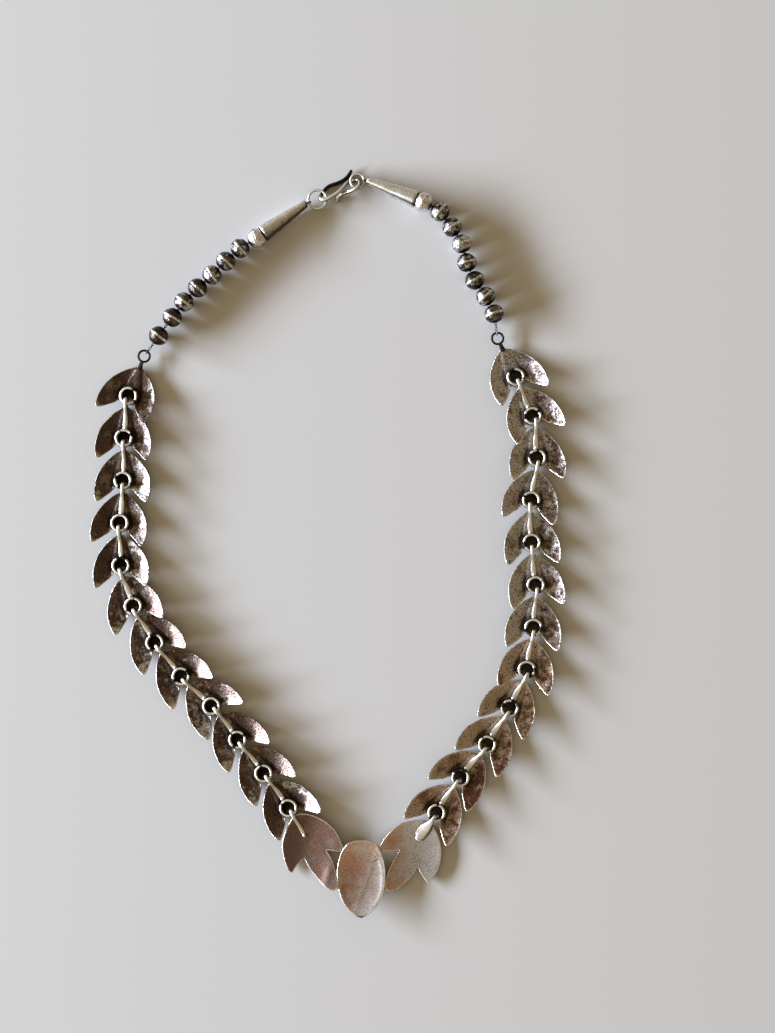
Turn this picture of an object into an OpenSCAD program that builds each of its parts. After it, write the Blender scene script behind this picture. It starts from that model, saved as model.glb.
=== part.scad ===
// Silver leaf link necklace, lying on its face with its back up and its clasp hooked.
// Millimetres, +Z up, +Y from the centre plaque towards the clasp.
// Directions in the plane are degrees from +X, and each points along the necklace to the clasp.

/* [Leaf links] */
// Distance from one leaf's ring to the next ring up the chain, where the chain lies straight
link_pitch = 14.1; // [14:0.1:14.2]
// Thickness of the silver sheet of the leaves and the centre plates
sheet = 0.75; // [0.6:0.05:0.9]
// Radius that a leaf is dished to
leaf_dish_r = 22; // [20:1:26]
// How far the lowest point of a leaf's dish lies ahead of its ring
leaf_dish_y = 3.8; // [3.8:0.1:4]
// Outer diameter of the tube ring that stands on a leaf
tube_ring_d = 6.2; // [6:0.1:6.2]
// Wall of the tube ring
tube_ring_wall = 1; // [0.9:0.1:1]
// Height of the tube ring's top edge above the floor
tube_ring_top = 3.4; // [3.2:0.1:3.4]
// Width of the strap that hooks a leaf to the next ring
strap_w = 1.2; // [1:0.1:1.3]
// Thickness of that strap
strap_t = 0.8; // [0.7:0.1:0.8]

/* [Beads and cones] */
// Diameter of a bead at its seam
bead_d = 6.6; // [6.4:0.1:6.7]
// Length of a bead along the chain
bead_len = 6.2; // [6:0.1:6.2]
// Hole through a bead
bead_hole_d = 2.1; // [2.1:0.1:2.4]
// How far the soldered seam stands out of a bead
bead_seam = 0.1; // [0.05:0.05:0.1]
// Width of the raised seam along the bead's axis
seam_w = 0.5; // [0.4:0.1:0.6]
// Diameter of a cone at its mouth
cone_mouth_d = 6; // [5.8:0.1:6.2]
// Diameter of a cone at its tip
cone_tip_d = 2.6; // [2.5:0.1:2.7]
// Length of a cone
cone_len = 17.5; // [17:0.5:18]
// Wall of a cone
cone_wall = 0.4; // [0.3:0.1:0.4]

/* [Clasp and chain] */
// Outer diameter of the clasp's left ring
left_ring_d = 6.9; // [6.8:0.1:7.2]
// Outer diameter of the clasp's right ring
right_ring_d = 5.4; // [5.3:0.1:5.6]
// Wire of both clasp rings
clasp_wire = 0.8; // [0.6:0.1:0.8]
// Height of the clasp rings' centre above the floor
clasp_z = 1.9; // [1.9:0.05:2]
// Outer diameter of the eye ring at the end of each leaf chain
eye_d = 4.5; // [4.4:0.1:4.6]
// Wire of the eye ring
eye_wire = 0.75; // [0.6:0.05:0.8]
// Diameter of the fine chain through the beads
chain_d = 0.8; // [0.6:0.1:0.9]

/* [Centre plaque] */
// Radius that the oval is dished to
oval_dish_r = 34; // [32:1:36]
// Radius that the two wings are dished to
wing_dish_r = 60; // [55:5:60]
// Radius of the solder that joins each wing to the oval
solder_r = 0.9; // [0.8:0.05:1]

/* [Hidden] */

// Where the first leaf's ring lies on each side, and the way each leaf's tip points, from the plaque up
left_start = [-13.4, -87.7];
left_leaves = [125, 128, 126, 137, 129, 123, 110, 93, 85, 89, 87, 69];
left_wing_way = 117;
right_start = [35.6, -89.3];
right_leaves = [57, 50, 57, 63, 80, 85, 96, 93, 80, 92, 113, 115];
right_wing_way = 55;

// Steps from the eye ring over the beads to the cone's mouth: [direction, distance]
left_beads = [
    [53, 8.3], [53, 7.6], [53, 6.4], [46, 6.4], [42, 6.4], [45, 6.4], [42, 6.4], [31, 6.4],
];
right_beads = [
    [99, 8.1], [116, 6.4], [124, 6.4], [114, 6.4], [105, 6.4], [121, 6.4], [128, 6.4], [149, 6.4],
];
// Way that each cone points, and then the way from its tip to the centre of its clasp ring
left_cone_way = 36;
left_clasp_way = 20;
right_cone_way = 158;
right_clasp_way = 184;
// From the last bead's centre to the cone's mouth, and from the cone's tip to the clasp ring's wire
mouth_gap = 2.6;
cone_ring_gap = 0.9;

// Half of a leaf's outline from its tip to its notch: [x, y, corner]
leaf_half = [
    [0, 10.7, 1], [3.9, 8.2, 0], [6.8, 5.1, 0], [8.6, 1.8, 0], [9.35, -1.8, 0], [9.2, -5, 0],
    [8.5, -6.8, 0], [7.3, -6.7, 0], [5.5, -5.2, 0], [3.8, -3.7, 0], [2.6, -2.1, 0], [1.6, -0.8, 0],
    [0.8, -0.4, 0], [0, -0.3, 0],
];
// The strap's middle line from its solder pad over the next ring's wall and back: [y, z]
strap_route = [
    [3.7, 1.05], [5, 1.1], [7, 1.5], [8.6, 2.35], [10, 3.5], [10.9, 4.05], [11.8, 4.1],
    [12.7, 3.85], [13.1, 3.2], [13.1, 2], [12.85, 1.3], [12.1, 0.95], [11.3, 0.9], [10.5, 1.1], [9.5, 1.65],
];
// Rows of the strap's route that lie on the plate, and how wide the hammered pad is there
pad_rows = 3;
pad_w = 1.8;
// Foot of the tube ring's wall, inside the plate
tube_ring_foot = 0.5;
// Room that the strap has under the ring: how high and how wide to each side
slot_top = 1.75;
slot_half = 1.5;
// Height up to which outlines are cut out of the dished sheets
cut_top = 8;
// Stem that joins the eye ring to the last leaf's tip: where it starts, its radius and its length
eye_stem_y = 9.9;
eye_stem_z = 1.95;
eye_stem_r = 0.55;
eye_stem_len = 2.4;

oval_centre = [10.7, -110.4];
// Half of the oval's outline: [x, y, corner]
oval_half = [
    [0, 12.2, 0], [3.9, 11.4, 0], [6.4, 8.6, 0], [7.6, 4.8, 0], [8, 0.8, 0], [7.7, -3.2, 0],
    [6.6, -7, 0], [4.4, -10.4, 0], [1.8, -12.4, 0], [0, -13.1, 1],
];
// Lowest spots of the three dished plates, measured from the oval's centre
oval_dish = [0, 1.5];
left_wing_dish = [-16, 7.5];
right_wing_dish = [16, 6.6];
// Outlines of the wings, measured from the oval's centre: [x, y, corner]
left_wing = [
    [-22.8, 19.6, 1], [-24.6, 16.2, 0], [-26.2, 11.2, 0], [-25.7, 5.8, 0], [-24.4, 2.1, 0], [-23, 0.7, 1],
    [-21.3, 3.2, 0], [-19, 5.5, 1], [-17, 2, 0], [-14, -1.5, 0], [-11.6, -3.8, 0], [-9.4, -4.7, 0],
    [-7.6, -3.7, 1], [-8.5, 1.2, 0], [-9.6, 5.2, 0], [-11.5, 8.5, 1], [-6.9, 8.2, 0], [-5.7, 9.4, 1],
    [-7.2, 12.8, 0], [-9.3, 16, 0], [-12.6, 18.7, 0], [-16.4, 20.4, 0], [-20.6, 20.8, 0],
];
right_wing = [
    [22.8, 17.8, 1], [20.2, 18.6, 0], [16.6, 18.3, 0], [12.8, 17.3, 0], [9.8, 15.1, 0], [7.4, 12.1, 0],
    [5.7, 9.4, 1], [6.8, 8.3, 0], [12.7, 8.6, 1], [10.5, 5, 0], [8.7, 1.2, 0], [7.6, -3.4, 1],
    [9.2, -4.8, 0], [11.6, -4.4, 0], [15, -2, 0], [17.4, 0.6, 0], [18.8, 2.6, 1], [19.9, 0.2, 0],
    [22.1, -2.6, 1], [24.2, -0.4, 0], [25.8, 3, 0], [26.6, 7.2, 0], [26, 11.8, 0], [24.6, 15.2, 0],
];
// Solder joints between the oval and the wings, measured from the oval's centre: [x, y, z]
solder_joints = [[-6.5, 8.9, 1.6], [-8, -3.2, 1.7], [6.5, 8.9, 1.6], [8, -3.2, 1.7]];
solder_h = 1.1;

// Hook's middle line: [ring, x, y, z, width, thickness], where x and y are measured from the left
// clasp ring for ring 0 and from the right one for ring 1
hook_rows = [
    [1, -1.9, 3.8, 1.1, 0.9, 0.9], [1, -2.6, 2.5, 0.75, 1.2, 1.1], [1, -3.7, 1.2, 0.65, 1.2, 1.2],
    [1, -5.1, 0.2, 0.65, 1.2, 1.2], [0, 6.3, 5.5, 0.65, 1.2, 1.2], [0, 4.4, 4.9, 0.65, 1.2, 1.2],
    [0, 2.9, 3.9, 0.65, 1.2, 1.2], [0, 1.9, 2.6, 0.75, 1.2, 1.2], [0, 1.2, 1.4, 1.3, 1.2, 1.2],
    [0, 1, 0.4, 2.2, 1.2, 1.2], [0, 1.7, -0.3, 2.95, 1.2, 1.2], [0, 3.2, -0.1, 3.15, 1.2, 1.2],
    [1, -8.3, -5.2, 3.05, 1.4, 1.1], [1, -6.5, -4, 2.75, 1.5, 1.1], [1, -5, -2.4, 2.1, 1.5, 1.1],
    [1, -3.9, -0.9, 1.3, 1.4, 1.1], [1, -3.1, -0.1, 0.75, 1.3, 1.2], [1, -2, 0.3, 0.65, 1.2, 1.2],
    [1, -0.8, 0.5, 0.95, 1.2, 1.2], [1, 0.2, 0.2, 1.6, 1.2, 1.2], [1, 0.6, -0.6, 2.4, 1.2, 1.2],
    [1, 0.4, -1.7, 3, 1.2, 1.2], [1, -0.6, -2.8, 3.15, 1.2, 1.2], [1, -2.2, -3.5, 2.6, 1.2, 1.2],
    [1, -3.8, -3.8, 1.7, 1.2, 1.2], [1, -5.4, -4.4, 1, 1.2, 1.2], [1, -6.5, -5.5, 0.75, 1.2, 1.2],
    [1, -7, -6.9, 0.65, 1.2, 1.1],
];

// Wire of the fine chain's end loops, and the air between a loop and the wire that it holds
loop_wire = 0.45;
loop_gap = 0.15;
clasp_loop_r = clasp_wire / 2 + loop_gap + loop_wire / 2;
eye_loop_r = eye_wire / 2 + loop_gap + loop_wire / 2;
// How far a cone's mouth is held off the floor
cone_lift = 0.1;
// Heights of the beads' centres, the cones' mouths and the eye rings above the floor
bead_z = bead_d / 2 + bead_seam;
mouth_z = cone_mouth_d / 2 + cone_lift;
eye_z = 2.1;
// From a leaf's ring to the middle of its own wall, which the next strap is hooked over
ring_wall_r = (tube_ring_d - tube_ring_wall) / 2;
// Steps that a smooth curve takes between two rows, in outlines and chains and then in straps and hook
smooth_steps = 3;
strap_steps = 2;
// Sides of round shapes by their size
dish_fn = 160;
round_fn = 48;
wire_fn = 24;
bar_sides = 8;

function go(way) = [cos(way), sin(way)];
function last(list) = list[len(list) - 1];
function flat(lists) = [for (list = lists) each list];
function walk(start, steps, i = 0) =
    i == len(steps) ? [start]
    : concat([start], walk(start + steps[i][1] * go(steps[i][0]), steps, i + 1));
// The leaves' rings and the eye ring: each strap is hooked over the next ring's wall at its slot
function hooked(ring, ways, i = 0) =
    i == len(ways) - 1 ? [ring, ring + link_pitch * go(ways[i])]
    : let (slot = ring + (link_pitch - ring_wall_r) * go(ways[i]))
    concat([ring], hooked(slot + ring_wall_r * go(ways[i + 1]), ways, i + 1));

// Places along each side, worked up from the plaque
left_rings = hooked(left_start, left_leaves);
right_rings = hooked(right_start, right_leaves);
left_bead_line = walk(last(left_rings), left_beads);
right_bead_line = walk(last(right_rings), right_beads);
left_mouth = last(left_bead_line) + mouth_gap * go(left_cone_way);
right_mouth = last(right_bead_line) + mouth_gap * go(right_cone_way);
left_tip = left_mouth + cone_len * go(left_cone_way);
right_tip = right_mouth + cone_len * go(right_cone_way);
left_ring_r = left_ring_d / 2 - clasp_wire / 2;
right_ring_r = right_ring_d / 2 - clasp_wire / 2;
left_clasp = left_tip + (cone_ring_gap + left_ring_r) * go(left_clasp_way);
right_clasp = right_tip + (cone_ring_gap + right_ring_r) * go(right_clasp_way);

// A point on the smooth curve through four neighbours, between the middle two
function curve(a, b, c, d, t) =
    b + ((c - a) * t + (2 * a - 5 * b + 4 * c - d) * t * t + (3 * b - a - 3 * c + d) * t * t * t) / 2;
// A closed outline through marked points, smooth except at its corners
function outline(rows) =
    let (n = len(rows), p = [for (r = rows) [r[0], r[1]]])
    [for (i = [0 : n - 1]) let (
        j = (i + 1) % n,
        before = rows[i][2] == 1 ? p[i] : p[(i + n - 1) % n],
        after = rows[j][2] == 1 ? p[j] : p[(j + 1) % n]
    ) for (k = [0 : smooth_steps - 1]) curve(before, p[i], p[j], after, k / smooth_steps)];
// The whole outline from its right half, whose first and last rows lie on the middle line
function mirrored(half) =
    concat(half, [for (i = [len(half) - 2 : -1 : 1]) [-half[i][0], half[i][1], half[i][2]]]);
// Rows of a route with smooth rows put between them
function smooth(rows, steps) =
    let (n = len(rows))
    concat([for (i = [0 : n - 2]) for (k = [0 : steps - 1])
        curve(rows[max(i - 1, 0)], rows[i], rows[i + 1], rows[min(i + 2, n - 1)], k / steps)], [last(rows)]);
function unit(v) = v / norm(v);
function way_at(line, i) = unit(line[min(i + 1, len(line) - 1)] - line[max(i - 1, 0)]);

// A flat strip of even thickness along a line of [y, z] points
function strip(line, t) =
    let (side = [for (i = [0 : len(line) - 1]) let (w = way_at(line, i)) [-w[1], w[0]] * t / 2])
    concat([for (i = [0 : len(line) - 1]) line[i] + side[i]],
        [for (i = [len(line) - 1 : -1 : 0]) line[i] - side[i]]);

// Where a bar's side lies at each point of a line, turned no more than the line turns
function sideways(line, i = 0, before = [0, 0, 1]) =
    i == len(line) ? []
    : let (w = way_at(line, i), side = i == 0 ? unit(cross(before, w)) : unit(before - (before * w) * w))
    concat([side], sideways(line, i + 1, side));

// A round bar along rows of [x, y, z, width, thickness]
module bar(rows) {
    n = len(rows);
    sides = bar_sides;
    mid = [for (r = rows) [r[0], r[1], r[2]]];
    side = sideways(mid);
    points = flat([for (i = [0 : n - 1]) let (up = cross(way_at(mid, i), side[i]))
        [for (k = [0 : sides - 1]) let (a = 360 * k / sides)
            mid[i] + side[i] * cos(a) * rows[i][3] / 2 + up * sin(a) * rows[i][4] / 2]]);
    walls = flat([for (i = [0 : n - 2]) flat([for (k = [0 : sides - 1]) let (
        a = i * sides + k, b = i * sides + (k + 1) % sides
    ) [[a, a + sides, b], [b, a + sides, b + sides]]])]);
    ends = [[for (k = [0 : sides - 1]) k], [for (k = [sides - 1 : -1 : 0]) (n - 1) * sides + k]];
    polyhedron(points, concat(walls, ends));
}

// A wire ring lying flat
module wire_ring(mean_r, wire) {
    rotate_extrude($fn = round_fn) translate([mean_r, 0]) circle(d = wire, $fn = wire_fn);
}

// Dished sheet cut to an outline, with the lowest point of its dish on the floor at spot
module dished_plate(points, r, spot) {
    intersection() {
        linear_extrude(cut_top) polygon(points);
        translate([spot[0], spot[1], r]) rotate([90, 0, 0]) difference() {
            sphere(r, $fn = dish_fn);
            sphere(r - sheet, $fn = dish_fn);
        }
    }
}

// Strap from a plate over the wall of the next ring and back under it, in a leaf's own frame
module hook_strap() {
    line = smooth(strap_route, strap_steps);
    pad = [for (i = [0 : strap_steps * pad_rows - 1]) line[i]];
    rotate([90, 0, 90]) {
        linear_extrude(strap_w, center = true) polygon(strip(line, strap_t));
        linear_extrude(pad_w, center = true) polygon(strip(pad, strap_t));
    }
}

// Short tube that stands in a leaf's notch, with a slot for the next strap
module tube_ring() {
    r = tube_ring_d / 2;
    difference() {
        translate([0, 0, tube_ring_foot])
            cylinder(r = r, h = tube_ring_top - tube_ring_foot, $fn = round_fn);
        cylinder(r = r - tube_ring_wall, h = cut_top, $fn = round_fn);
        translate([-slot_half, -r - 1, -1]) cube([2 * slot_half, r + 1, slot_top + 1]);
    }
}

// Eye ring soldered to the tip of the last leaf
module eye_ring() {
    translate([0, link_pitch, eye_z]) wire_ring((eye_d - eye_wire) / 2, eye_wire);
    translate([0, eye_stem_y, eye_stem_z]) rotate([-90, 0, 0])
        cylinder(r = eye_stem_r, h = eye_stem_len, $fn = wire_fn);
}

// One leaf link in its own frame: its ring at the origin and its tip towards +Y
module leaf(is_last) {
    dished_plate(outline(mirrored(leaf_half)), leaf_dish_r, [0, leaf_dish_y]);
    tube_ring();
    if (is_last) eye_ring(); else hook_strap();
}

module placed_leaf(rings, ways, i) {
    color("rosybrown") translate([rings[i][0], rings[i][1], 0]) rotate([0, 0, ways[i] - 90])
        leaf(i == len(ways) - 1);
}

// Wing strap that hooks into the first leaf's ring
module wing_strap(ring, leaf_way, way) {
    origin = ring - ring_wall_r * go(leaf_way) - (link_pitch - ring_wall_r) * go(way);
    translate([origin[0], origin[1], 0]) rotate([0, 0, way - 90]) hook_strap();
}

module centre_plaque() {
    color("tan") {
        translate([oval_centre[0], oval_centre[1], 0]) {
            dished_plate(outline(mirrored(oval_half)), oval_dish_r, oval_dish);
            dished_plate(outline(left_wing), wing_dish_r, left_wing_dish);
            dished_plate(outline(right_wing), wing_dish_r, right_wing_dish);
            for (joint = solder_joints) translate(joint)
                cylinder(r = solder_r, h = solder_h, center = true, $fn = wire_fn);
        }
        wing_strap(left_start, left_leaves[0], left_wing_way);
        wing_strap(right_start, right_leaves[0], right_wing_way);
    }
}

// Two domed halves that meet at the seam: both are caps of one sphere, wider across than along
module bead_halves() {
    cap_r = (pow(bead_d / 2, 2) / (bead_len / 2) + bead_len / 2) / 2;
    off = cap_r - bead_len / 2;
    intersection() {
        translate([0, 0, off]) sphere(cap_r, $fn = round_fn);
        translate([0, 0, -off]) sphere(cap_r, $fn = round_fn);
    }
}

// Bead of two soldered halves, drilled along the line of beads
module bead(line, i) {
    before = line[i];
    after = line[min(i + 2, len(line) - 1)];
    way = after - before;
    color("dimgray") translate([line[i + 1][0], line[i + 1][1], bead_z])
        rotate([0, 90, atan2(way[1], way[0])]) difference() {
            union() {
                bead_halves();
                cylinder(d = bead_d + 2 * bead_seam, h = seam_w, center = true, $fn = round_fn);
            }
            cylinder(d = bead_hole_d, h = 2 * bead_d, center = true, $fn = wire_fn);
        }
}

// Rolled sheet cone from its mouth to its tip
module cone(mouth, way) {
    drop = mouth_z - clasp_z;
    color("silver") translate([mouth[0], mouth[1], mouth_z]) rotate([0, 90 + atan2(drop, cone_len), way])
        rotate_extrude($fn = round_fn) polygon([
            [cone_mouth_d / 2 - cone_wall, 0], [cone_mouth_d / 2, 0],
            [cone_tip_d / 2, cone_len], [cone_tip_d / 2 - cone_wall, cone_len],
        ]);
}

// Upright end loop of the fine chain, with its plane along way
module end_loop(spot, z, way, r) {
    translate([spot[0], spot[1], z]) rotate([90, 0, way]) wire_ring(r, loop_wire);
}

// Fine chain from the eye ring through the beads and the cone to the clasp ring
module fine_chain(line, mouth, tip, clasp, clasp_r) {
    eye = line[0];
    eye_r = (eye_d - eye_wire) / 2;
    to_bead = unit(line[1] - eye);
    loop_spot = eye + eye_r * to_bead;
    from = eye + (eye_r + eye_loop_r) * to_bead;
    to_tip = unit(tip - clasp);
    ring_spot = clasp + clasp_r * to_tip;
    to = clasp + (clasp_r + clasp_loop_r) * to_tip;
    beads = [for (i = [1 : len(line) - 1]) [line[i][0], line[i][1], bead_z]];
    rows = concat([[from[0], from[1], eye_z]], beads, [[mouth[0], mouth[1], mouth_z],
        [(mouth[0] + tip[0]) / 2, (mouth[1] + tip[1]) / 2, (mouth_z + clasp_z) / 2],
        [to[0], to[1], clasp_z]]);
    color("gray") {
        bar([for (r = smooth(rows, smooth_steps)) concat(r, [chain_d, chain_d])]);
        end_loop(loop_spot, eye_z, atan2(to_bead[1], to_bead[0]), eye_loop_r);
        end_loop(ring_spot, clasp_z, atan2(to_tip[1], to_tip[0]), clasp_loop_r);
    }
}

module clasp_ring(spot, r) {
    color("silver") translate([spot[0], spot[1], clasp_z]) wire_ring(r, clasp_wire);
}

module clasp_hook() {
    rows = [for (r = hook_rows) let (from = r[0] == 0 ? left_clasp : right_clasp)
        [from[0] + r[1], from[1] + r[2], r[3], r[4], r[5]]];
    color("slategray") bar(smooth(rows, strap_steps));
}

centre_plaque();
for (i = [0 : len(left_leaves) - 1]) {
    placed_leaf(left_rings, left_leaves, i);
    placed_leaf(right_rings, right_leaves, i);
}
for (i = [0 : len(left_beads) - 1]) {
    bead(left_bead_line, i);
    bead(right_bead_line, i);
}
cone(left_mouth, left_cone_way);  // cone_left
cone(right_mouth, right_cone_way);  // cone_right
fine_chain(left_bead_line, left_mouth, left_tip, left_clasp, left_ring_r);  // chain_left
fine_chain(right_bead_line, right_mouth, right_tip, right_clasp, right_ring_r);  // chain_right
clasp_ring(left_clasp, left_ring_r);  // clasp_ring_left
clasp_ring(right_clasp, right_ring_r);  // clasp_ring_right
clasp_hook();
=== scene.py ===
"""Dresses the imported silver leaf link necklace, which lies on its face, and lights it for a view from above.

Every mesh is worked out in millimetres in the part's own frame, with +Y towards the clasp and +Z up,
and is turned to metres once, when it becomes an object. In the methods for shape and wear, distances
are in millimetres and strengths run from 0 to 1.
"""

from __future__ import annotations

import logging
import math
from dataclasses import dataclass, field, replace
from enum import Enum
from functools import partial
from typing import Callable, Sequence

import bmesh
import bpy
from mathutils import Matrix, Vector, noise
from mathutils.geometry import delaunay_2d_cdt


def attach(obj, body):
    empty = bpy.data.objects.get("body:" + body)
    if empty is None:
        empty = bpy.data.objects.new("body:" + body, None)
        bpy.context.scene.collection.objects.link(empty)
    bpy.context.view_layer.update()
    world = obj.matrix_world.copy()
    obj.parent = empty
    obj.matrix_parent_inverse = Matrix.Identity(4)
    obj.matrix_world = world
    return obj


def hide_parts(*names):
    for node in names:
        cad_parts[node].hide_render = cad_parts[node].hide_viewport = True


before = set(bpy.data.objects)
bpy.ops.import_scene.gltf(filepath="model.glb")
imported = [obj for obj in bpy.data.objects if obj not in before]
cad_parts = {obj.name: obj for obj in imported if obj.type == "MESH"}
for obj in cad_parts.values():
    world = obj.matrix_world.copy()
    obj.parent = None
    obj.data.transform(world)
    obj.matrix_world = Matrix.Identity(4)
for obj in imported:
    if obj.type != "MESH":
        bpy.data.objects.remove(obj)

log = logging.getLogger("necklace")

Point2 = tuple[float, float]
Row3 = tuple[float, float, float]
WearAndLight = tuple[float, float, float]
Profile = list[tuple[float, ...]]
BarWearAndLight = Callable[[float, float], WearAndLight]
Silver = bpy.types.Material

MM = 0.001
PHOTO_SIZE_PX = (775, 1033)
MM_PER_PX = 0.3325
# Height of an even triangle whose sides are 1
TRIANGLE_HEIGHT = 0.866
# The face that a sheet lies on is evenly tarnished, and its cut edges more so
HIDDEN_FACE: WearAndLight = (0.55, 0.0, 0.5)
CUT_EDGE: WearAndLight = (0.9, 0.0, 0.9)
SOLDER: WearAndLight = (1.0, 0.0, 1.0)
# Tone that neither spreads nor shrinks the patches much
EVEN = 0.5


def clamp(value: float) -> float:
    """Value, kept between 0 and 1."""
    return max(0.0, min(1.0, value))


def smoothstep(low: float, high: float, value: float) -> float:
    """Soft step from 0 at low to 1 at high; low may be the larger."""
    t = clamp((value - low) / (high - low))
    return t * t * (3 - 2 * t)


def bell(*offs: float) -> float:
    """Soft hump of height 1, where each number is a distance from its middle over its width."""
    return math.exp(-sum(off**2 for off in offs))


def full_turn(count: int) -> list[float]:
    """Angles of that many even steps round a circle."""
    return [2 * math.pi * k / count for k in range(count)]


def heading(degrees: float) -> Vector:
    """Unit vector in the plane at that many degrees from +X."""
    return Vector((math.cos(math.radians(degrees)), math.sin(math.radians(degrees))))


def catmull(a: Vector, b: Vector, c: Vector, d: Vector, t: float) -> Vector:
    """Point between b and c on the smooth curve through four neighbours."""
    return b + ((c - a) * t + (2 * a - 5 * b + 4 * c - d) * t * t + (3 * b - a - 3 * c + d) * t**3) / 2


def smooth_rows(rows: Sequence[Sequence[float]], steps: int) -> list[Vector]:
    """Rows of any width with smooth rows put between them.

    Args:
        rows: the rows that the curve passes through.
        steps: how many pieces each gap is cut into.

    Returns:
        The finer list, with the first and last rows kept.
    """
    p = [Vector(r) for r in rows]
    n = len(p)
    fine = [
        catmull(p[max(i - 1, 0)], p[i], p[i + 1], p[min(i + 2, n - 1)], k / steps)
        for i in range(n - 1)
        for k in range(steps)
    ]
    return fine + [p[-1]]


def smooth_outline(rows: Sequence[Row3], steps: int) -> list[Vector]:
    """Closed outline through marked points.

    Args:
        rows: [x, y, corner], where corner 1 keeps the point sharp.
        steps: how many pieces each side is cut into.

    Returns:
        The outline's points, in the order of the rows.
    """
    p = [Vector((r[0], r[1])) for r in rows]
    n = len(p)
    points = []
    for i in range(n):
        j = (i + 1) % n
        before = p[i] if rows[i][2] else p[i - 1]
        after = p[j] if rows[j][2] else p[(j + 1) % n]
        points += [catmull(before, p[i], p[j], after, k / steps) for k in range(steps)]
    return points


def mirrored(half: Sequence[Row3]) -> list[Row3]:
    """Whole outline from its right half, whose first and last rows lie on the middle line."""
    return list(half) + [(-x, y, corner) for x, y, corner in reversed(half[1:-1])]


def sides_of(loop: Sequence[Vector]) -> list[tuple[Vector, Vector]]:
    """Both ends of each side of a closed loop."""
    return list(zip(loop, [*loop[1:], loop[0]]))


def evenly(points: Sequence[Vector], gap: float) -> list[Vector]:
    """Closed loop with points at even steps along each of its sides.

    Args:
        points: its corners.
        gap: about how far apart the new points lie.

    Returns:
        The loop, turned to run anticlockwise.
    """
    loop = []
    for a, b in sides_of(points):
        pieces = max(1, round((b - a).length / gap))
        loop += [a.lerp(b, k / pieces) for k in range(pieces)]
    area = sum(a.x * b.y - b.x * a.y for a, b in sides_of(loop))
    return loop if area > 0 else loop[::-1]


def inside(point: Vector, loop: Sequence[Vector]) -> bool:
    """Tells whether a point lies in a closed loop.

    Args:
        point: the point.
        loop: the loop's corners.

    Returns:
        True if it does.
    """
    crossings = False
    for a, b in sides_of(loop):
        if (a.y > point.y) != (b.y > point.y):
            if point.x < (b.x - a.x) * (point.y - a.y) / (b.y - a.y) + a.x:
                crossings = not crossings
    return crossings


def staggered_grid(loop: Sequence[Vector], spacing: float) -> list[Vector]:
    """Fills a closed loop with points in staggered rows.

    Args:
        loop: the loop's corners.
        spacing: distance between neighbours, and about twice the least distance from the corners.

    Returns:
        The points.
    """
    xs, ys = [p.x for p in loop], [p.y for p in loop]
    step_y = spacing * TRIANGLE_HEIGHT
    grid = []
    for j in range(int((max(ys) - min(ys)) / step_y) + 1):
        y = min(ys) + (j + 0.5) * step_y
        for i in range(int((max(xs) - min(xs)) / spacing) + 1):
            p = Vector((min(xs) + (i + 0.5 * (j % 2)) * spacing, y))
            if inside(p, loop) and min((p - q).length for q in loop) > spacing * 0.55:
                grid.append(p)
    return grid


def bulge(value: float, square: float) -> float:
    """Sine or cosine of a rounded box: 2 keeps a circle and more gives a squarer shape."""
    return math.copysign(abs(value) ** (2 / square), value)


def shaded_sides_lit_top(hollow: float, rim: float, edge: float) -> BarWearAndLight:
    """Marks of a bar or wire: painted shade on its sides and underside, and its outer side rubbed bright with
    a painted highlight.

    Args:
        hollow: how dark the painted shade on its sides and underside is.
        rim: how bright the rubbed metal and painted highlight on its top are.
        edge: the facing, from -1 below to 1 on top, where dark turns to bright.

    Returns:
        The wear at a place along it and a facing.
    """
    return lambda _, up: (
        hollow * smoothstep(edge + 0.2, edge - 0.2, up),
        rim * smoothstep(edge, edge + 0.3, up),
        EVEN,
    )


def blackened(hollow: float, rim: float, dark_to: float, bright_from: float, tone: float) -> BarWearAndLight:
    """Marks of a bar that is dark all round, and lighter up to rim where it faces up more than dark_to."""
    return lambda _, up: (hollow, rim * smoothstep(dark_to, bright_from, up), tone)


def by_seed(seed: float, pattern: Row3) -> float:
    """Noise of -1 to 1 that changes from piece to piece; the pattern's first number is its step."""
    return noise.noise(Vector((seed * pattern[0], pattern[1], pattern[2])))


def put_in_scene(name: str, data: bpy.types.ID) -> bpy.types.Object:
    """New object of the scene that shows the data."""
    made = bpy.data.objects.new(name, data)
    bpy.context.scene.collection.objects.link(made)
    return made


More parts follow.
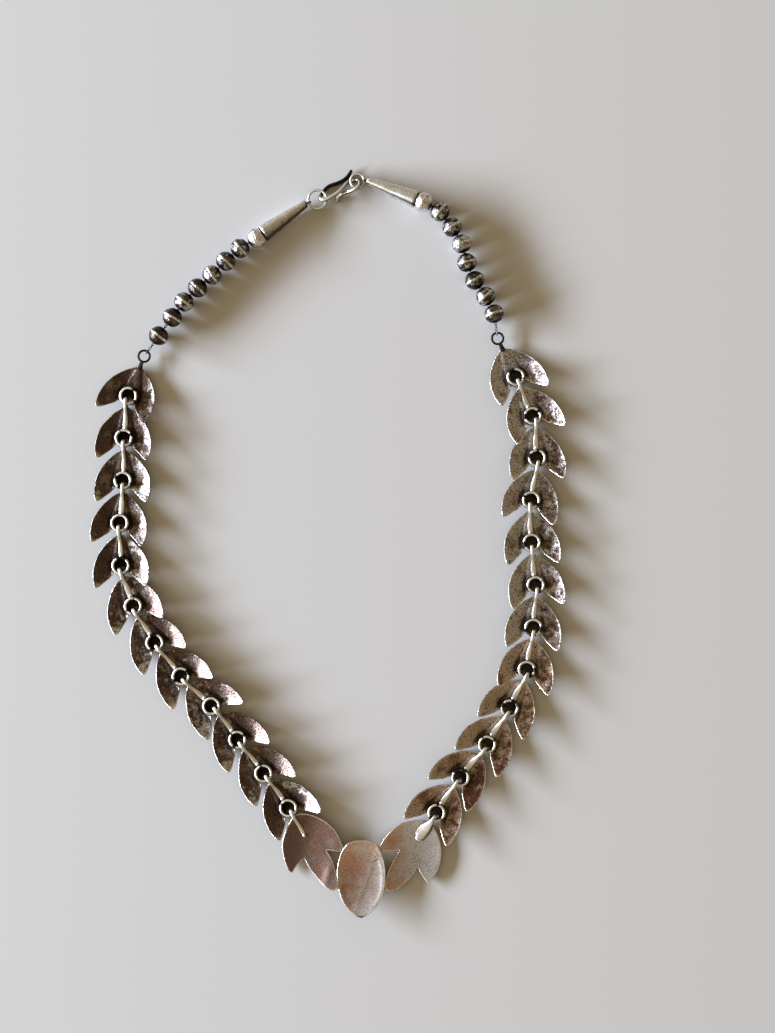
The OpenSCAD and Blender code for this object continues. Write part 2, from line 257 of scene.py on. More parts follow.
@dataclass
class Shape:
    """Closed shells in millimetres, with the tarnish, rubbing and painted light of the metal at each point.

    Each point has (hollow, rim, tone): how far it is sunk where tarnish stays, and how dark the painted shade
    laid on it is;
    how close it is to an edge that is rubbed bright, and how bright the painted highlight laid on it is; and a
    tone of its own for the patches that a piece has.
    """

    points: list[Vector] = field(default_factory=list)
    faces: list[list[int]] = field(default_factory=list)
    wear: list[WearAndLight] = field(default_factory=list)

    def add(self, points: Sequence[Vector], faces: Sequence[Sequence[int]], wear: Sequence[WearAndLight]) -> None:
        """Adds one closed shell.

        Args:
            points: its points.
            faces: its faces, as numbers of its own points.
            wear: the wear at each point.
        """
        start = len(self.points)
        self.points += [Vector(p) for p in points]
        self.faces += [[start + i for i in f] for f in faces]
        self.wear += list(wear)

    def join(self, other: Shape, place: Matrix = Matrix.Identity(4)) -> None:
        """Adds another shape's shells at a place in millimetres."""
        self.add([place @ p for p in other.points], other.faces, other.wear)

    def tube(
        self, rings: Sequence[Sequence[Vector]], wear: Sequence[Sequence[WearAndLight]], closed: bool = False
    ) -> None:
        """Adds a skin through rings of points.

        Args:
            rings: loops with the same number of points each.
            wear: one value for each point of each ring.
            closed: True if the last ring joins the first, or else both ends get a cap.
        """
        n, count = len(rings[0]), len(rings)
        faces = []
        for i in range(count if closed else count - 1):
            j = (i + 1) % count
            faces += [[i * n + k, i * n + (k + 1) % n, j * n + (k + 1) % n, j * n + k] for k in range(n)]
        if not closed:
            faces += [list(range(n))[::-1], [(count - 1) * n + k for k in range(n)]]
        self.add([p for ring in rings for p in ring], faces, [w for marks in wear for w in marks])

    def sweep(self, line: Sequence[Vector], sizes: Sequence[Point2], square: float, wear: BarWearAndLight) -> None:
        """Adds a bar along a line, flat side up, turned no more than the line turns.

        Args:
            line: the middle line.
            sizes: width and thickness at each point of it.
            square: 2 for an oval section, more for a squarer one.
            wear: the wear at a share of the length, where the skin faces down at -1 and up at 1.
        """
        rings, marks = [], []
        last, blunt = len(line) - 1, 0.72
        across = Vector((0, 0, 0))
        for i, mid in enumerate(line):
            way = (line[min(i + 1, last)] - line[max(i - 1, 0)]).normalized()
            across = (across - across.dot(way) * way if i else Vector((0, 0, 1)).cross(way)).normalized()
            up = way.cross(across)
            width, height = (size / 2 * (blunt if i in (0, last) else 1.0) for size in sizes[i])
            offs = [
                across * width * bulge(math.cos(a), square) + up * height * bulge(math.sin(a), square)
                for a in full_turn(16)
            ]
            rings.append([mid + off for off in offs])
            marks.append([wear(i / last, off.normalized().z) for off in offs])
        self.tube(rings, marks)

    def spin(self, profile: Callable[[float], Profile], sides: int) -> None:
        """Adds a closed profile turned about Z.

        Args:
            profile: rows of [radius, height, hollow, rim] at each angle.
            sides: steps round the axis.
        """
        rings, marks = [], []
        for a in full_turn(sides):
            rows = profile(a)
            rings.append([Vector((r[0] * math.cos(a), r[0] * math.sin(a), r[1])) for r in rows])
            marks.append([(r[2], r[3], EVEN) for r in rows])
        self.tube(rings, marks, closed=True)

    def wire_ring(self, place: Matrix, radius: float, wire: float, wear: BarWearAndLight) -> None:
        """Adds a ring of round wire.

        Args:
            place: its centre and plane, in millimetres.
            radius: mean radius.
            wire: the wire's diameter.
            wear: the wear at an angle round the ring and a height of -1 to 1 on the section.
        """
        rings, marks = [], []
        turns = full_turn(12)
        section = [(wire / 2 * math.cos(b), wire / 2 * math.sin(b)) for b in turns]
        for a in full_turn(48):
            out = Vector((math.cos(a), math.sin(a), 0))
            rings.append([place @ (out * (radius + off) + Vector((0, 0, up))) for off, up in section])
            marks.append([wear(a, math.sin(b)) for b in turns])
        self.tube(rings, marks, closed=True)

    def blob(self, centre: Vector, size: Sequence[float], wear: WearAndLight) -> None:
        """Adds a drop of solder, as a squashed ball.

        Args:
            centre: its middle.
            size: its three half sizes.
            wear: the wear of all of it.
        """
        rings = []
        for a in (math.pi * i / 8 for i in range(1, 8)):
            x, y, z = size[0] * math.sin(a), size[1] * math.sin(a), -size[2] * math.cos(a)
            rings.append([centre + Vector((x * math.cos(b), y * math.sin(b), z)) for b in full_turn(16)])
        self.tube(rings, [[wear] * 16] * len(rings))

    def sheet(
        self, outline: Sequence[Vector], top: Callable[[float, float], float], thickness: float,
        wear: Callable[[float, float, float], WearAndLight], spacing: float = 0.5, rim: float = 0.24,
    ) -> None:
        """Adds a formed sheet with rounded edges.

        Args:
            outline: its closed edge, seen from above.
            top: height of the upper face at x, y.
            thickness: of the metal, measured straight down.
            wear: the wear at x, y and its distance from the edge.
            spacing: size of the mesh's triangles.
            rim: radius that the edges are rubbed to.
        """
        loop = evenly(outline, spacing * 0.8)
        n = len(loop)
        ways = [(loop[(i + 1) % n] - loop[i - 1]).normalized() for i in range(n)]
        outward = [Vector((way.y, -way.x)) for way in ways]
        inset = [p - q * rim for p, q in zip(loop, outward)]
        edges = [(i, (i + 1) % n) for i in range(n)]
        found = delaunay_2d_cdt(inset + staggered_grid(inset, spacing), edges, [], 1, 1e-5)
        flat, triangles, origin = found[0], found[2], found[3]
        index_of = {old: new for new, olds in enumerate(origin) for old in olds}
        count = len(flat)
        points = [Vector((p.x, p.y, top(p.x, p.y))) for p in flat]
        points += [Vector((p.x, p.y, top(p.x, p.y) - thickness)) for p in flat]
        marks = [wear(p.x, p.y, min((p - q).length for q in loop)) for p in flat] + [HIDDEN_FACE] * count
        faces = [list(t) for t in triangles] + [[count + i for i in reversed(t)] for t in triangles]
        # The edge turns from the upper face down to the lower one in six steps
        steps = [math.radians(a) for a in (30, 60, 90)]
        rows = [[index_of[i] for i in range(n)]]
        for upper in (True, False):
            for a in steps if upper else reversed(steps):
                rows.append(list(range(len(points), len(points) + n)))
                drop = rim * (math.cos(a) - 1) if upper else rim * (1 - math.cos(a)) - thickness
                for p, q in zip(loop, outward):
                    spot = p - q * rim * (1 - math.sin(a))
                    points.append(Vector((spot.x, spot.y, top(p.x, p.y) + drop)))
                    marks.append(wear(p.x, p.y, 0.0) if upper and a < math.pi / 2 else CUT_EDGE)
        rows.append([count + index_of[i] for i in range(n)])
        for a, b in zip(rows, rows[1:]):
            faces += [[a[i], b[i], b[(i + 1) % n], a[(i + 1) % n]] for i in range(n)]
        self.add(points, faces, marks)

    def dented(self, depth: float, size: float, seed: float) -> None:
        """Pushes the points about by smooth noise, as hand work leaves them.

        Args:
            depth: how far at most, in millimetres.
            size: distance between dents, in millimetres.
            seed: picks the pattern.
        """
        pattern = Vector((seed * 7.3, seed * 3.1, seed * 5.7))
        for p in self.points:
            q = p / size + pattern
            p += Vector([noise.noise(q + Vector(far)) for far in ((0, 0, 0), (31, 0, 0), (0, 47, 0))]) * depth

    def to_object(self, name: str, silver: Silver, place: Matrix = Matrix.Identity(4)) -> bpy.types.Object:
        """Makes the Blender object, in metres and with its place in its mesh.

        Args:
            name: of the piece.
            silver: its finish.
            place: where to put it, in millimetres.

        Returns:
            The object at the origin, with smooth faces that point outwards.
        """
        mesh = bpy.data.meshes.new(name)
        mesh.from_pydata([tuple((place @ p) * MM) for p in self.points], [], self.faces)
        work = bmesh.new()
        work.from_mesh(mesh)
        bmesh.ops.recalc_face_normals(work, faces=work.faces)
        work.to_mesh(mesh)
        work.free()
        mesh.shade_smooth()
        layer = mesh.color_attributes.new("wear", "FLOAT_COLOR", "POINT")
        layer.data.foreach_set("color", [c for w in self.wear for c in (*w, 1.0)])
        mesh.materials.append(silver)
        return put_in_scene(name, mesh)


def dress(piece: bpy.types.Object, node: str) -> None:
    """Lets a finished piece stand for its node of the frame.

    Args:
        piece: the piece.
        node: the CAD node that it replaces.
    """
    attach(piece, "root")
    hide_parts(node)
    log.info("%s: %d faces", piece.name, len(piece.data.polygons))


def linear(hex_colour: str) -> tuple[float, float, float, float]:
    """Linear colour from an sRGB hex value."""
    channels = [int(hex_colour[i : i + 2], 16) / 255 for i in (0, 2, 4)]
    return (*[c / 12.92 if c <= 0.04045 else ((c + 0.055) / 1.055) ** 2.4 for c in channels], 1.0)


def add_node(
    tree: bpy.types.NodeTree, kind: str, settings: dict | None = None, inputs: dict | None = None
) -> Sequence[bpy.types.NodeSocket]:
    """Adds a node to a tree.

    Args:
        tree: the shader or geometry tree.
        kind: the node's type name.
        settings: attributes to set on it.
        inputs: values, or sockets to link from, by input name or number.

    Returns:
        The new node's outputs.
    """
    made = tree.nodes.new(kind)
    for key, value in (settings or {}).items():
        setattr(made, key, value)
    for key, value in (inputs or {}).items():
        if isinstance(value, bpy.types.NodeSocket):
            tree.links.new(value, made.inputs[key])
        else:
            made.inputs[key].default_value = value
    return made.outputs


@dataclass(frozen=True)
class SilverFinish:
    """Old sterling silver sheet or wire, with the tarnish that handling has left in its hollows, and the
    painted shade and painted highlights that its masks lay.

    The colours are sRGB hex, and sizes are in millimetres.
    """

    name: str
    hollow: str
    body: str
    patch: str
    stain: str
    rim: str
    pit: str
    patch_mm: float
    patch_soft: float
    pit_mm: float
    pits: float
    hollow_strength: float
    rim_strength: float
    roughness: Point2
    bump: float
    bump_mm: float = 0.2

    def material(self) -> Silver:
        """Builds the procedural material.

        Returns:
            A metal whose colour and roughness follow the wear mask, cloudy patches and small pits.
        """
        made = bpy.data.materials.new(self.name)
        made.use_nodes = True
        made.node_tree.nodes.clear()
        add = partial(add_node, made.node_tree)
        place = add("ShaderNodeTexCoord")["Object"]
        wear = add("ShaderNodeAttribute", {"attribute_name": "wear"})["Color"]
        hollow, rim, tone = add("ShaderNodeSeparateColor", inputs={0: wear})
        cloud, fine, broad, pit = (
            add(
                "ShaderNodeTexNoise",
                inputs={"Vector": place, "Scale": 1 / (size * MM), "Detail": detail, "Roughness": rough},
            )[0]
            for size, detail, rough in (
                (self.patch_mm, 4.0, 0.6),
                (self.pit_mm, 3.0, 0.65),
                (self.patch_mm * 2.3, 2.0, 0.5),
                (self.pit_mm * 0.6, 2.0, 0.5),
            )
        )
        shift = 0.4 + 1.2 * self.patch_soft
        middle = 0.5 + shift / 2
        spread, ragged, rubbed = (
            add("ShaderNodeMath", {"operation": "MULTIPLY_ADD"}, {0: value, 1: share, 2: base})[0]
            for value, share, base in ((tone, shift, cloud), (fine, 0.7, hollow), (cloud, 0.5, rim))
        )
        colour = linear(self.body)
        for value, low, high, strength, hue in (
            # Cloudy tarnish a few millimetres across; the piece's own tone spreads or shrinks the patches
            (spread, middle - self.patch_soft, middle + self.patch_soft, 1.0, self.patch),
            (broad, 0.5, 0.72, 1.0, self.stain),
            # Tarnish stays in the hollows, and painted shade where the hollow mask carries it, with a ragged
            # edge from the fine noise
            (ragged, 0.5, 1.15, self.hollow_strength, self.hollow),
            # Edges are rubbed back to pale metal, and painted highlights are laid where the rim mask carries
            # them
            (rubbed, 0.45, 1.1, self.rim_strength, self.rim),
            # Small dark pits, about as coarse as the view can show
            (pit, 0.52, 0.64, self.pits, self.pit),
        ):
            limits = {0: value, 1: low, 2: high, 4: strength}
            share = add("ShaderNodeMapRange", {"interpolation_type": "SMOOTHSTEP"}, limits)[0]
            colours = {0: share, 6: colour, 7: linear(hue)}
            colour = add("ShaderNodeMix", {"data_type": "RGBA"}, colours)[2]
        # Tarnish is matt and rubbed metal is smoother
        less = {"operation": "SUBTRACT", "use_clamp": True}
        tarnish = add("ShaderNodeMath", less, {0: ragged, 1: rubbed})[0]
        rough = add("ShaderNodeMapRange", inputs={0: tarnish, 3: self.roughness[0], 4: self.roughness[1]})[0]
        relief = {"Strength": self.bump, "Distance": self.bump_mm * MM, "Height": fine}
        skin = {"Metallic": 1.0, "Base Color": colour, "Roughness": rough}
        skin["Normal"] = add("ShaderNodeBump", inputs=relief)[0]
        add("ShaderNodeOutputMaterial", inputs={"Surface": add("ShaderNodeBsdfPrincipled", inputs=skin)[0]})
        return made


# Hammered and dapped leaf plates: satin, brown in the hollows, pale where they rub on cloth; the same colours
# also paint shade in the ring bores and on the left lobes, and painted sheen and highlights on the right lobes
# and lit edges
LEAF_SILVER = SilverFinish(
    name="dapped_silver_sheet", hollow="241812", body="CEC8CC", patch="62504A", stain="8E807C", rim="FFFCF8",
    pit="1E1510", patch_mm=2.0, patch_soft=0.12, pit_mm=0.8, pits=0.85, hollow_strength=0.9, rim_strength=0.9,
    roughness=(0.32, 0.55), bump=0.8,
)
# The right chain's leaves near the plaque: the same sheet with a redder stain
RED_LEAF_SILVER = replace(
    LEAF_SILVER, name="reddish_dapped_silver_sheet", body="CCBAB2", patch="6E4E44", stain="8E6E62", pits=0.75
)
# Flat soldered back plate: a pinkish fire stain over satin silver; its hollow colour also paints the shadow
# beside the strap pads and the shade inside the oval's rim
PLAQUE_SILVER = SilverFinish(
    name="fire_stained_silver_sheet", hollow="54463C", body="EAEAFC", patch="DCAEA2", stain="E2D4D4",
    rim="FFFAF6", pit="4A3A32", patch_mm=3.2, patch_soft=0.3, pit_mm=0.7, pits=0.45, hollow_strength=0.8,
    rim_strength=0.95, roughness=(0.34, 0.5), bump=0.35,
)
# Two-part bead shells: polished on the outside of the curve and nearly black round the holes, with tarnish and
# painted shade where the beads meet
BEAD_SILVER = SilverFinish(
    name="oxidised_bead_silver", hollow="120E0C", body="D2CED0", patch="463E3C", stain="786C66", rim="FFFCFC",
    pit="16110F", patch_mm=1.5, patch_soft=0.08, pit_mm=0.8, pits=0.9, hollow_strength=0.95,
    rim_strength=0.85, roughness=(0.3, 0.5), bump=1.0,
)
# Rolled cone sheet: pale and handled smooth
CONE_SILVER = SilverFinish(
    name="rolled_cone_silver", hollow="3A2A22", body="E4E4E6", patch="BCBAB2", stain="D0CEC8", rim="FCFAF8",
    pit="5A4E46", patch_mm=1.6, patch_soft=0.12, pit_mm=0.7, pits=0.4, hollow_strength=0.9, rim_strength=0.7,
    roughness=(0.38, 0.5), bump=0.5,
)
# Drawn wire of straps, rings, chain and clasp: rubbed bright on top with a painted highlight, and dark with
# tarnish and painted shade on its sides and underside
WIRE_SILVER = SilverFinish(
    name="drawn_silver_wire", hollow="120E0C", body="BCB6B0", patch="8E8680", stain="A69E92", rim="FFFCFA",
    pit="2A221E", patch_mm=1.6, patch_soft=0.1, pit_mm=0.5, pits=0.25, hollow_strength=0.95,
    rim_strength=0.95, roughness=(0.44, 0.42), bump=0.3,
)


class Side(Enum):
    """The two halves of the necklace, as they lie."""

    LEFT = "left"
    RIGHT = "right"


# Sizes that the pieces share with the solids, in millimetres
LINK_PITCH = 14.1
RING_D = 6.2
RING_WALL = 1.0
RING_WALL_R = (RING_D - RING_WALL) / 2
BEAD_D = 6.6
BEAD_LEN = 6.2
BEAD_SEAM = 0.1
BEAD_Z = BEAD_D / 2 + BEAD_SEAM
MOUTH_D = 6.0
MOUTH_Z = MOUTH_D / 2 + 0.1
EYE_D = 4.5
EYE_WIRE = 0.75
EYE_WALL_R = (EYE_D - EYE_WIRE) / 2
EYE_Z = 2.1
CONE_LEN = 17.5
MOUTH_GAP = 2.6
CONE_RING_GAP = 0.9
CLASP_WIRE = 0.8
CLASP_Z = 1.9


@dataclass(frozen=True)
class ChainEnd:
    """A ring that the fine chain's end loop goes round, and the way from it into the chain."""

    centre: Vector
    wall_r: float
    wire: float
    z: float
    way: Vector


@dataclass(frozen=True)
class Route:
    """One side of the necklace, worked up from the plaque: directions are degrees from +X."""

    side: Side
    start: Point2
    wing_way: float
    leaf_ways: tuple[float, ...]
    bead_steps: tuple[Point2, ...]
    cone_way: float
    clasp_way: float
    ring_d: float

    def rings(self) -> list[Vector]:
        """Where the rings lie, since each strap hooks over the next ring's wall.

        Returns:
            Centres of the leaf rings, with the eye ring's centre last.
        """
        spots = [Vector(self.start)]
        for way, after in zip(self.leaf_ways, self.leaf_ways[1:]):
            to_wall, past_wall = (LINK_PITCH - RING_WALL_R) * heading(way), RING_WALL_R * heading(after)
            spots.append(spots[-1] + to_wall + past_wall)
        return spots + [spots[-1] + LINK_PITCH * heading(self.leaf_ways[-1])]

    def wing_strap(self) -> Vector:
        """Where the wing's strap would have its own ring."""
        hook = Vector(self.start) - RING_WALL_R * heading(self.leaf_ways[0])
        return hook - (LINK_PITCH - RING_WALL_R) * heading(self.wing_way)

    def bead_line(self) -> list[Vector]:
        """Works out where the beads lie.

        Returns:
            The eye ring's centre and then the beads' centres.
        """
        spots = [self.rings()[-1]]
        for way, step in self.bead_steps:
            spots.append(spots[-1] + step * heading(way))
        return spots

    def mouth(self) -> Vector:
        """Centre of the cone's mouth."""
        return self.bead_line()[-1] + MOUTH_GAP * heading(self.cone_way)

    def tip(self) -> Vector:
        """Centre of the cone's tip."""
        return self.mouth() + CONE_LEN * heading(self.cone_way)

    def ring_r(self) -> float:
        """Mean radius of the clasp ring."""
        return (self.ring_d - CLASP_WIRE) / 2

    def clasp(self) -> Vector:
        """Centre of the clasp ring."""
        return self.tip() + (CONE_RING_GAP + self.ring_r()) * heading(self.clasp_way)

    def ends(self) -> tuple[ChainEnd, ChainEnd]:
        """Eye ring and clasp ring, as the fine chain's two ends.

        Returns:
            Both, from the eye ring on.
        """
        eye, bead = self.bead_line()[:2]
        clasp = self.clasp()
        return (
            ChainEnd(eye, EYE_WALL_R, EYE_WIRE, EYE_Z, (bead - eye).normalized()),
            ChainEnd(clasp, self.ring_r(), CLASP_WIRE, CLASP_Z, (self.tip() - clasp).normalized()),
        )


ROUTES = {
    Side.LEFT: Route(
        side=Side.LEFT, start=(-13.4, -87.7), wing_way=117,
        leaf_ways=(125, 128, 126, 137, 129, 123, 110, 93, 85, 89, 87, 69),
        bead_steps=((53, 8.3), (53, 7.6), (53, 6.4), (46, 6.4), (42, 6.4), (45, 6.4), (42, 6.4), (31, 6.4)),
        cone_way=36, clasp_way=20, ring_d=6.9,
    ),
    Side.RIGHT: Route(
        side=Side.RIGHT, start=(35.6, -89.3), wing_way=55,
        leaf_ways=(57, 50, 57, 63, 80, 85, 96, 93, 80, 92, 113, 115),
        bead_steps=(
            (99, 8.1), (116, 6.4), (124, 6.4), (114, 6.4), (105, 6.4), (121, 6.4), (128, 6.4), (149, 6.4),
        ),
        cone_way=158, clasp_way=184, ring_d=5.4,
    ),
}


def placed(spot: Vector, way: float) -> Matrix:
    """Turns a piece whose tip points to +Y so that it points along way, and puts it at spot."""
    return Matrix.Translation((spot.x, spot.y, 0)) @ Matrix.Rotation(math.radians(way - 90), 4, "Z")


@dataclass
class LeafLink:
    """A dapped leaf with a tube ring in its notch and a strap that hooks into the next ring."""

    sheet_t: float = 0.75
    dish_r: float = 21.25
    dish_y: float = 3.8
    vein_w: float = 3.1
    vein_h: float = 0.36
    # Depth of the dents, and the distance between them
    dents: Point2 = (0.14, 4.5)
    ring_dents: Point2 = (0.08, 1.6)
    # How steeply a leaf rises to its own right, which turns its face to the outside of the loop
    left_lean: float = 0.05
    right_lean: float = -0.01
    ring_top: float = 3.4
    ring_foot: float = 0.05
    ring_skin: float = 0.04
    slot: Point2 = (1.0, 1.45)
    strap_w: float = 1.2
    strap_t: float = 0.8
    # Width of a usual pad, and where it runs out
    pad: Point2 = (1.9, 11.0)
    # A pad wider than this is a drop: rounded at its end and domed
    drop_w: float = 2.5
    # Leaves from this one to the top, and the first, have right lobes rubbed palest and painted with the
    # brightest sheen
    rubbed_sheen_from: int = 8
    bright_rubbed_sheen: float = 1.0
    dim_rubbed_sheen: float = 0.35
    # The right chain is reddish up to this leaf
    red_to: int = 5
    right_seed: int = 20
    tone_pattern: Row3 = (1.7, 0.3, 0.9)
    pad_pattern: Row3 = (2.9, 5.5, 0.4)
    half: tuple[Row3, ...] = (
        (0, 10.7, 1), (3.9, 8.2, 0), (6.8, 5.1, 0), (8.6, 1.8, 0), (9.35, -1.8, 0), (9.2, -5, 0),
        (8.5, -6.8, 0), (7.3, -6.7, 0), (5.5, -5.2, 0), (3.8, -3.7, 0), (2.6, -2.1, 0), (1.6, -0.8, 0),
        (0.8, -0.4, 0), (0, -0.3, 0),
    )
    route: tuple[Point2, ...] = (
        (3.7, 1.05), (5, 1.1), (7, 1.5), (8.6, 2.35), (10, 3.5), (10.9, 4.05), (11.8, 4.1), (12.7, 3.85),
        (13.1, 3.2), (13.1, 2), (12.85, 1.3), (12.1, 0.95), (11.3, 0.9), (10.5, 1.1), (9.5, 1.65),
    )
    neck: tuple[Row3, ...] = (
        (9.4, 1.75, 1.9), (10.3, 1.85, 1.7), (11.2, 1.95, 1.35), (12.1, 2.05, 1.25), (12.6, 2.1, 1.0),
    )

    def vein(self, x: float, y: float) -> float:
        """How far x, y lies outside the pressed vein, and negative inside it."""
        reach = clamp((y - 0.5) / 9.4)
        return abs(x) - self.vein_w * math.sqrt(1 - reach) * (1 - 0.25 * reach)

    def top(self, lean: float, x: float, y: float) -> float:
        """Height of the leaf's upper face.

        Args:
            lean: how steeply it rises to its right.
            x, y: place on the leaf.

        Returns:
            The height.
        """
        off = math.hypot(x, y - self.dish_y)
        z = self.sheet_t + self.dish_r - math.sqrt(self.dish_r**2 - off**2)
        z += lean * x + self.dish_r * lean**2 / 2
        z += self.vein_h * smoothstep(0.7, -0.5, self.vein(x, y))
        return z - 0.3 * bell((abs(x) - 5.4) / 2.6, (y + 0.2) / 4.6)

    def wear(self, side: Side, pale: float, x: float, y: float, edge: float) -> WearAndLight:
        """Marks of a plate: the left chain is the more tarnished, but its right lobes are rubbed pale and
        carry a painted sheen, and its left lobes a painted shade.

        Args:
            side: the plate's chain.
            pale: how far the left chain's right lobes are rubbed and painted with sheen.
            x, y: place on the leaf.
            edge: distance from the leaf's edge.

        Returns:
            Hollow, rim and tone.
        """
        right = smoothstep(0.0, 5.0, x)
        from_ring = math.hypot(x, y)
        # Painted shade on the plate seen down the ring's bore
        bore_shade = smoothstep(3.3, 2.7, from_ring)
        near_ring = smoothstep(5.6, 3.0, from_ring) * (1 - 0.45 * right)
        beside_vein = smoothstep(1.0, 0.1, abs(self.vein(x, y) - 0.5))
        deep = smoothstep(5.0, 1.0, math.hypot(abs(x) - 4.6, (y - 0.5) * 0.6))
        hollow = clamp(0.55 * near_ring + 0.22 * deep + 0.42 * beside_vein) * smoothstep(0.0, 1.6, edge)
        # Tarnish and painted shade round the foot of the ring
        hollow = max(hollow, 0.75 * smoothstep(3.9, 3.3, from_ring))
        lobe_end = smoothstep(-2.5, -6.5, y) * smoothstep(5.5, 8.0, abs(x))
        line = smoothstep(0.34, 0.1, edge)
        if side is Side.LEFT:
            rubbed = right * pale * smoothstep(4.5, 0.4, edge)
            # Rubbed edges, with a brighter painted highlight on the left edges that face the window
            rim = line * (0.75 - 0.4 * right) + 0.04 * rubbed + 0.3 * lobe_end * (1 - right)
            # Left lobes darker and right lobes paler: tarnish and rubbing, with painted shade and painted
            # sheen for how the window light falls on the dished lobes
            tone = 0.95 - 0.35 * rubbed - 0.15 * right * pale - 0.45 * lobe_end * (1 - right)
            tone -= 0.4 * (1 - pale) * (1 - right)
        else:
            # On the right chain the hollows are painted lighter and the right lobes darker: painted light for
            # how the window falls on that side
            hollow *= 0.85
            rim = 0.9 * line + 0.2 * smoothstep(1.6, 0.2, edge) + 0.25 * lobe_end * (1 - 0.7 * right)
            tone = 0.05 + 0.5 * right
        return (max(hollow, bore_shade), clamp(rim) * (1 - bore_shade), tone)

    def plate(self, side: Side, pale: float) -> Shape:
        """The dapped sheet.

        Args:
            side: the plate's chain.
            pale: how far the left chain's right lobes are rubbed and painted with sheen.

        Returns:
            The sheet in the leaf's own frame.
        """
        shape = Shape()
        lean = self.left_lean if side is Side.LEFT else self.right_lean
        wear = partial(self.wear, side, pale)
        outline = smooth_outline(mirrored(self.half), steps=8)
        shape.sheet(outline, partial(self.top, lean), self.sheet_t, wear)
        return shape

    def lip(self, seed: float, angle: float) -> Profile:
        """Section of the tube ring, with a round lip that is rubbed bright in places and a slot in its foot;
        its walls carry painted shade and tarnish, and its top a painted highlight.

        Args:
            seed: picks where the lip is rubbed.
            angle: place round the ring.

        Returns:
            Rows of [radius, height, hollow, rim].
        """
        mid, half, top = RING_WALL_R - self.ring_skin, RING_WALL / 2 - self.ring_skin, self.ring_top
        beside = abs(math.cos(angle)) * mid if math.sin(angle) < 0 else mid
        in_slot = smoothstep(self.slot[0] + 0.1, self.slot[0] - 0.1, beside)
        foot = self.ring_foot + (self.slot[1] - self.ring_foot) * in_slot
        worn = noise.noise(Vector((1.3 * math.cos(angle), 1.3 * math.sin(angle), seed * 5.1)))
        # The walls and foot are painted dark: tarnish and painted shade
        rows = [(mid - half, foot, 1.0, 0.0), (mid + half, foot, 1.0, 0.0), (mid + half, top - 1.3, 0.9, 0.0)]
        for a in (math.pi * step / 8 for step in range(9)):
            # Painted shade on the lip's outer side and, darkest, on its inner side over the bore, with tarnish
            # where the noise wears it; a painted highlight on its rubbed top
            hollow = 0.8 * smoothstep(0.55, 0.95, math.cos(a)) + smoothstep(-0.55, -0.95, math.cos(a))
            hollow = clamp(hollow + 0.9 * smoothstep(0.1, 0.5, worn))
            rim = smoothstep(0.3, 0.75, math.sin(a)) * smoothstep(0.45, 0.1, worn)
            rows.append((mid + half * math.cos(a), top - half + half * math.sin(a), hollow, rim))
        return rows + [(mid - half, top - 1.2, 1.0, 0.0)]

    def strap(self, pad_w: float, pad_end: float) -> Shape:
        """The strap, hammered flat at its pad, with the drop of solder that sits between pad and ring.

        Args:
            pad_w: how wide the pad was hammered.
            pad_end: where the pad has run out into the strap, in quarters of a row.

        Returns:
            The strap in the leaf's own frame.
        """
        rows = smooth_rows([(0.0, y, z) for y, z in self.route], steps=4)
        wide = max(0.0, pad_w - self.drop_w)
        sizes = []
        for i in range(len(rows)):
            pad = smoothstep(pad_end, pad_end * 0.35, i)
            end = 1 - 0.3 * wide * smoothstep(4.0, 0.0, i)
            width = self.strap_w + (pad_w - self.strap_w) * pad * end
            sizes.append((width, self.strap_t + (0.32 * wide - 0.12) * pad))
        shape = Shape()
        # The strap gets painted shade on its sides and underside and a painted highlight on its rubbed top
        shape.sweep(rows, sizes, square=2.2, wear=shaded_sides_lit_top(hollow=1.0, rim=1.0, edge=0.2))
        shape.blob(Vector((0, 3.4, 1.2)), (min(pad_w, self.drop_w) * 0.42, 0.75, 0.5), (0.0, 0.8, EVEN))
        return shape

    def eye(self) -> Shape:
        """The eye ring at the tip of the last leaf, with its neck.

        Returns:
            Both in the leaf's own frame, and nearly black.
        """
        shape = Shape()
        centre = Matrix.Translation((0, LINK_PITCH, EYE_Z))
        shape.wire_ring(centre, EYE_WALL_R, EYE_WIRE, blackened(1.0, 0.2, 0.5, 0.95, EVEN))
        line, sizes = [Vector((0, y, z)) for y, z, _ in self.neck], [(w, 0.8) for _, _, w in self.neck]
        shape.sweep(line, sizes, square=2.5, wear=blackened(0.85, 0.3, 0.3, 0.9, 0.7))
        return shape

    def build(self, route: Route, silver: Silver, red_silver: Silver, wire: Silver) -> None:
        """Places the twelve leaves of one side, the first of which hangs on the plaque.

        Args:
            route: the side.
            silver: for most plates.
            red_silver: for the right chain's plates near the plaque.
            wire: for the straps, rings and eye.
        """
        # Plates whose right lobes carry a brighter and a dimmer painted sheen, with their rubbing
        pale, dull = (self.plate(route.side, lobes) for lobes in (self.bright_rubbed_sheen, self.dim_rubbed_sheen))
        on_right = route.side is Side.RIGHT
        for number, (spot, way) in enumerate(zip(route.rings(), route.leaf_ways), 1):
            name = f"leaf_{route.side.value}_{number}"
            place = placed(spot, way)
            seed = number + (self.right_seed if on_right else 0)
            body = Shape()
            body.join(pale if number >= self.rubbed_sheen_from or number == 1 else dull)
            tone = 0.25 * by_seed(seed, self.tone_pattern)
            body.wear = [(h, r, clamp(t + tone)) for h, r, t in body.wear]
            body.dented(*self.dents, seed)
            finish = red_silver if on_right and number <= self.red_to else silver
            dress(body.to_object(f"{name}_plate", finish, place), name)
            fittings = Shape()
            fittings.spin(partial(self.lip, seed), sides=64)
            fittings.dented(*self.ring_dents, seed)
            worn = by_seed(seed, self.pad_pattern)
            last = number == len(route.leaf_ways)
            # A pad that was hammered wider was also hammered further along
            pad_w, pad_end = self.pad[0] + 0.6 * worn, self.pad[1] + 4.0 * worn
            fittings.join(self.eye() if last else self.strap(pad_w, pad_end))
            dress(fittings.to_object(f"{name}_ring_and_strap", wire, place), name)


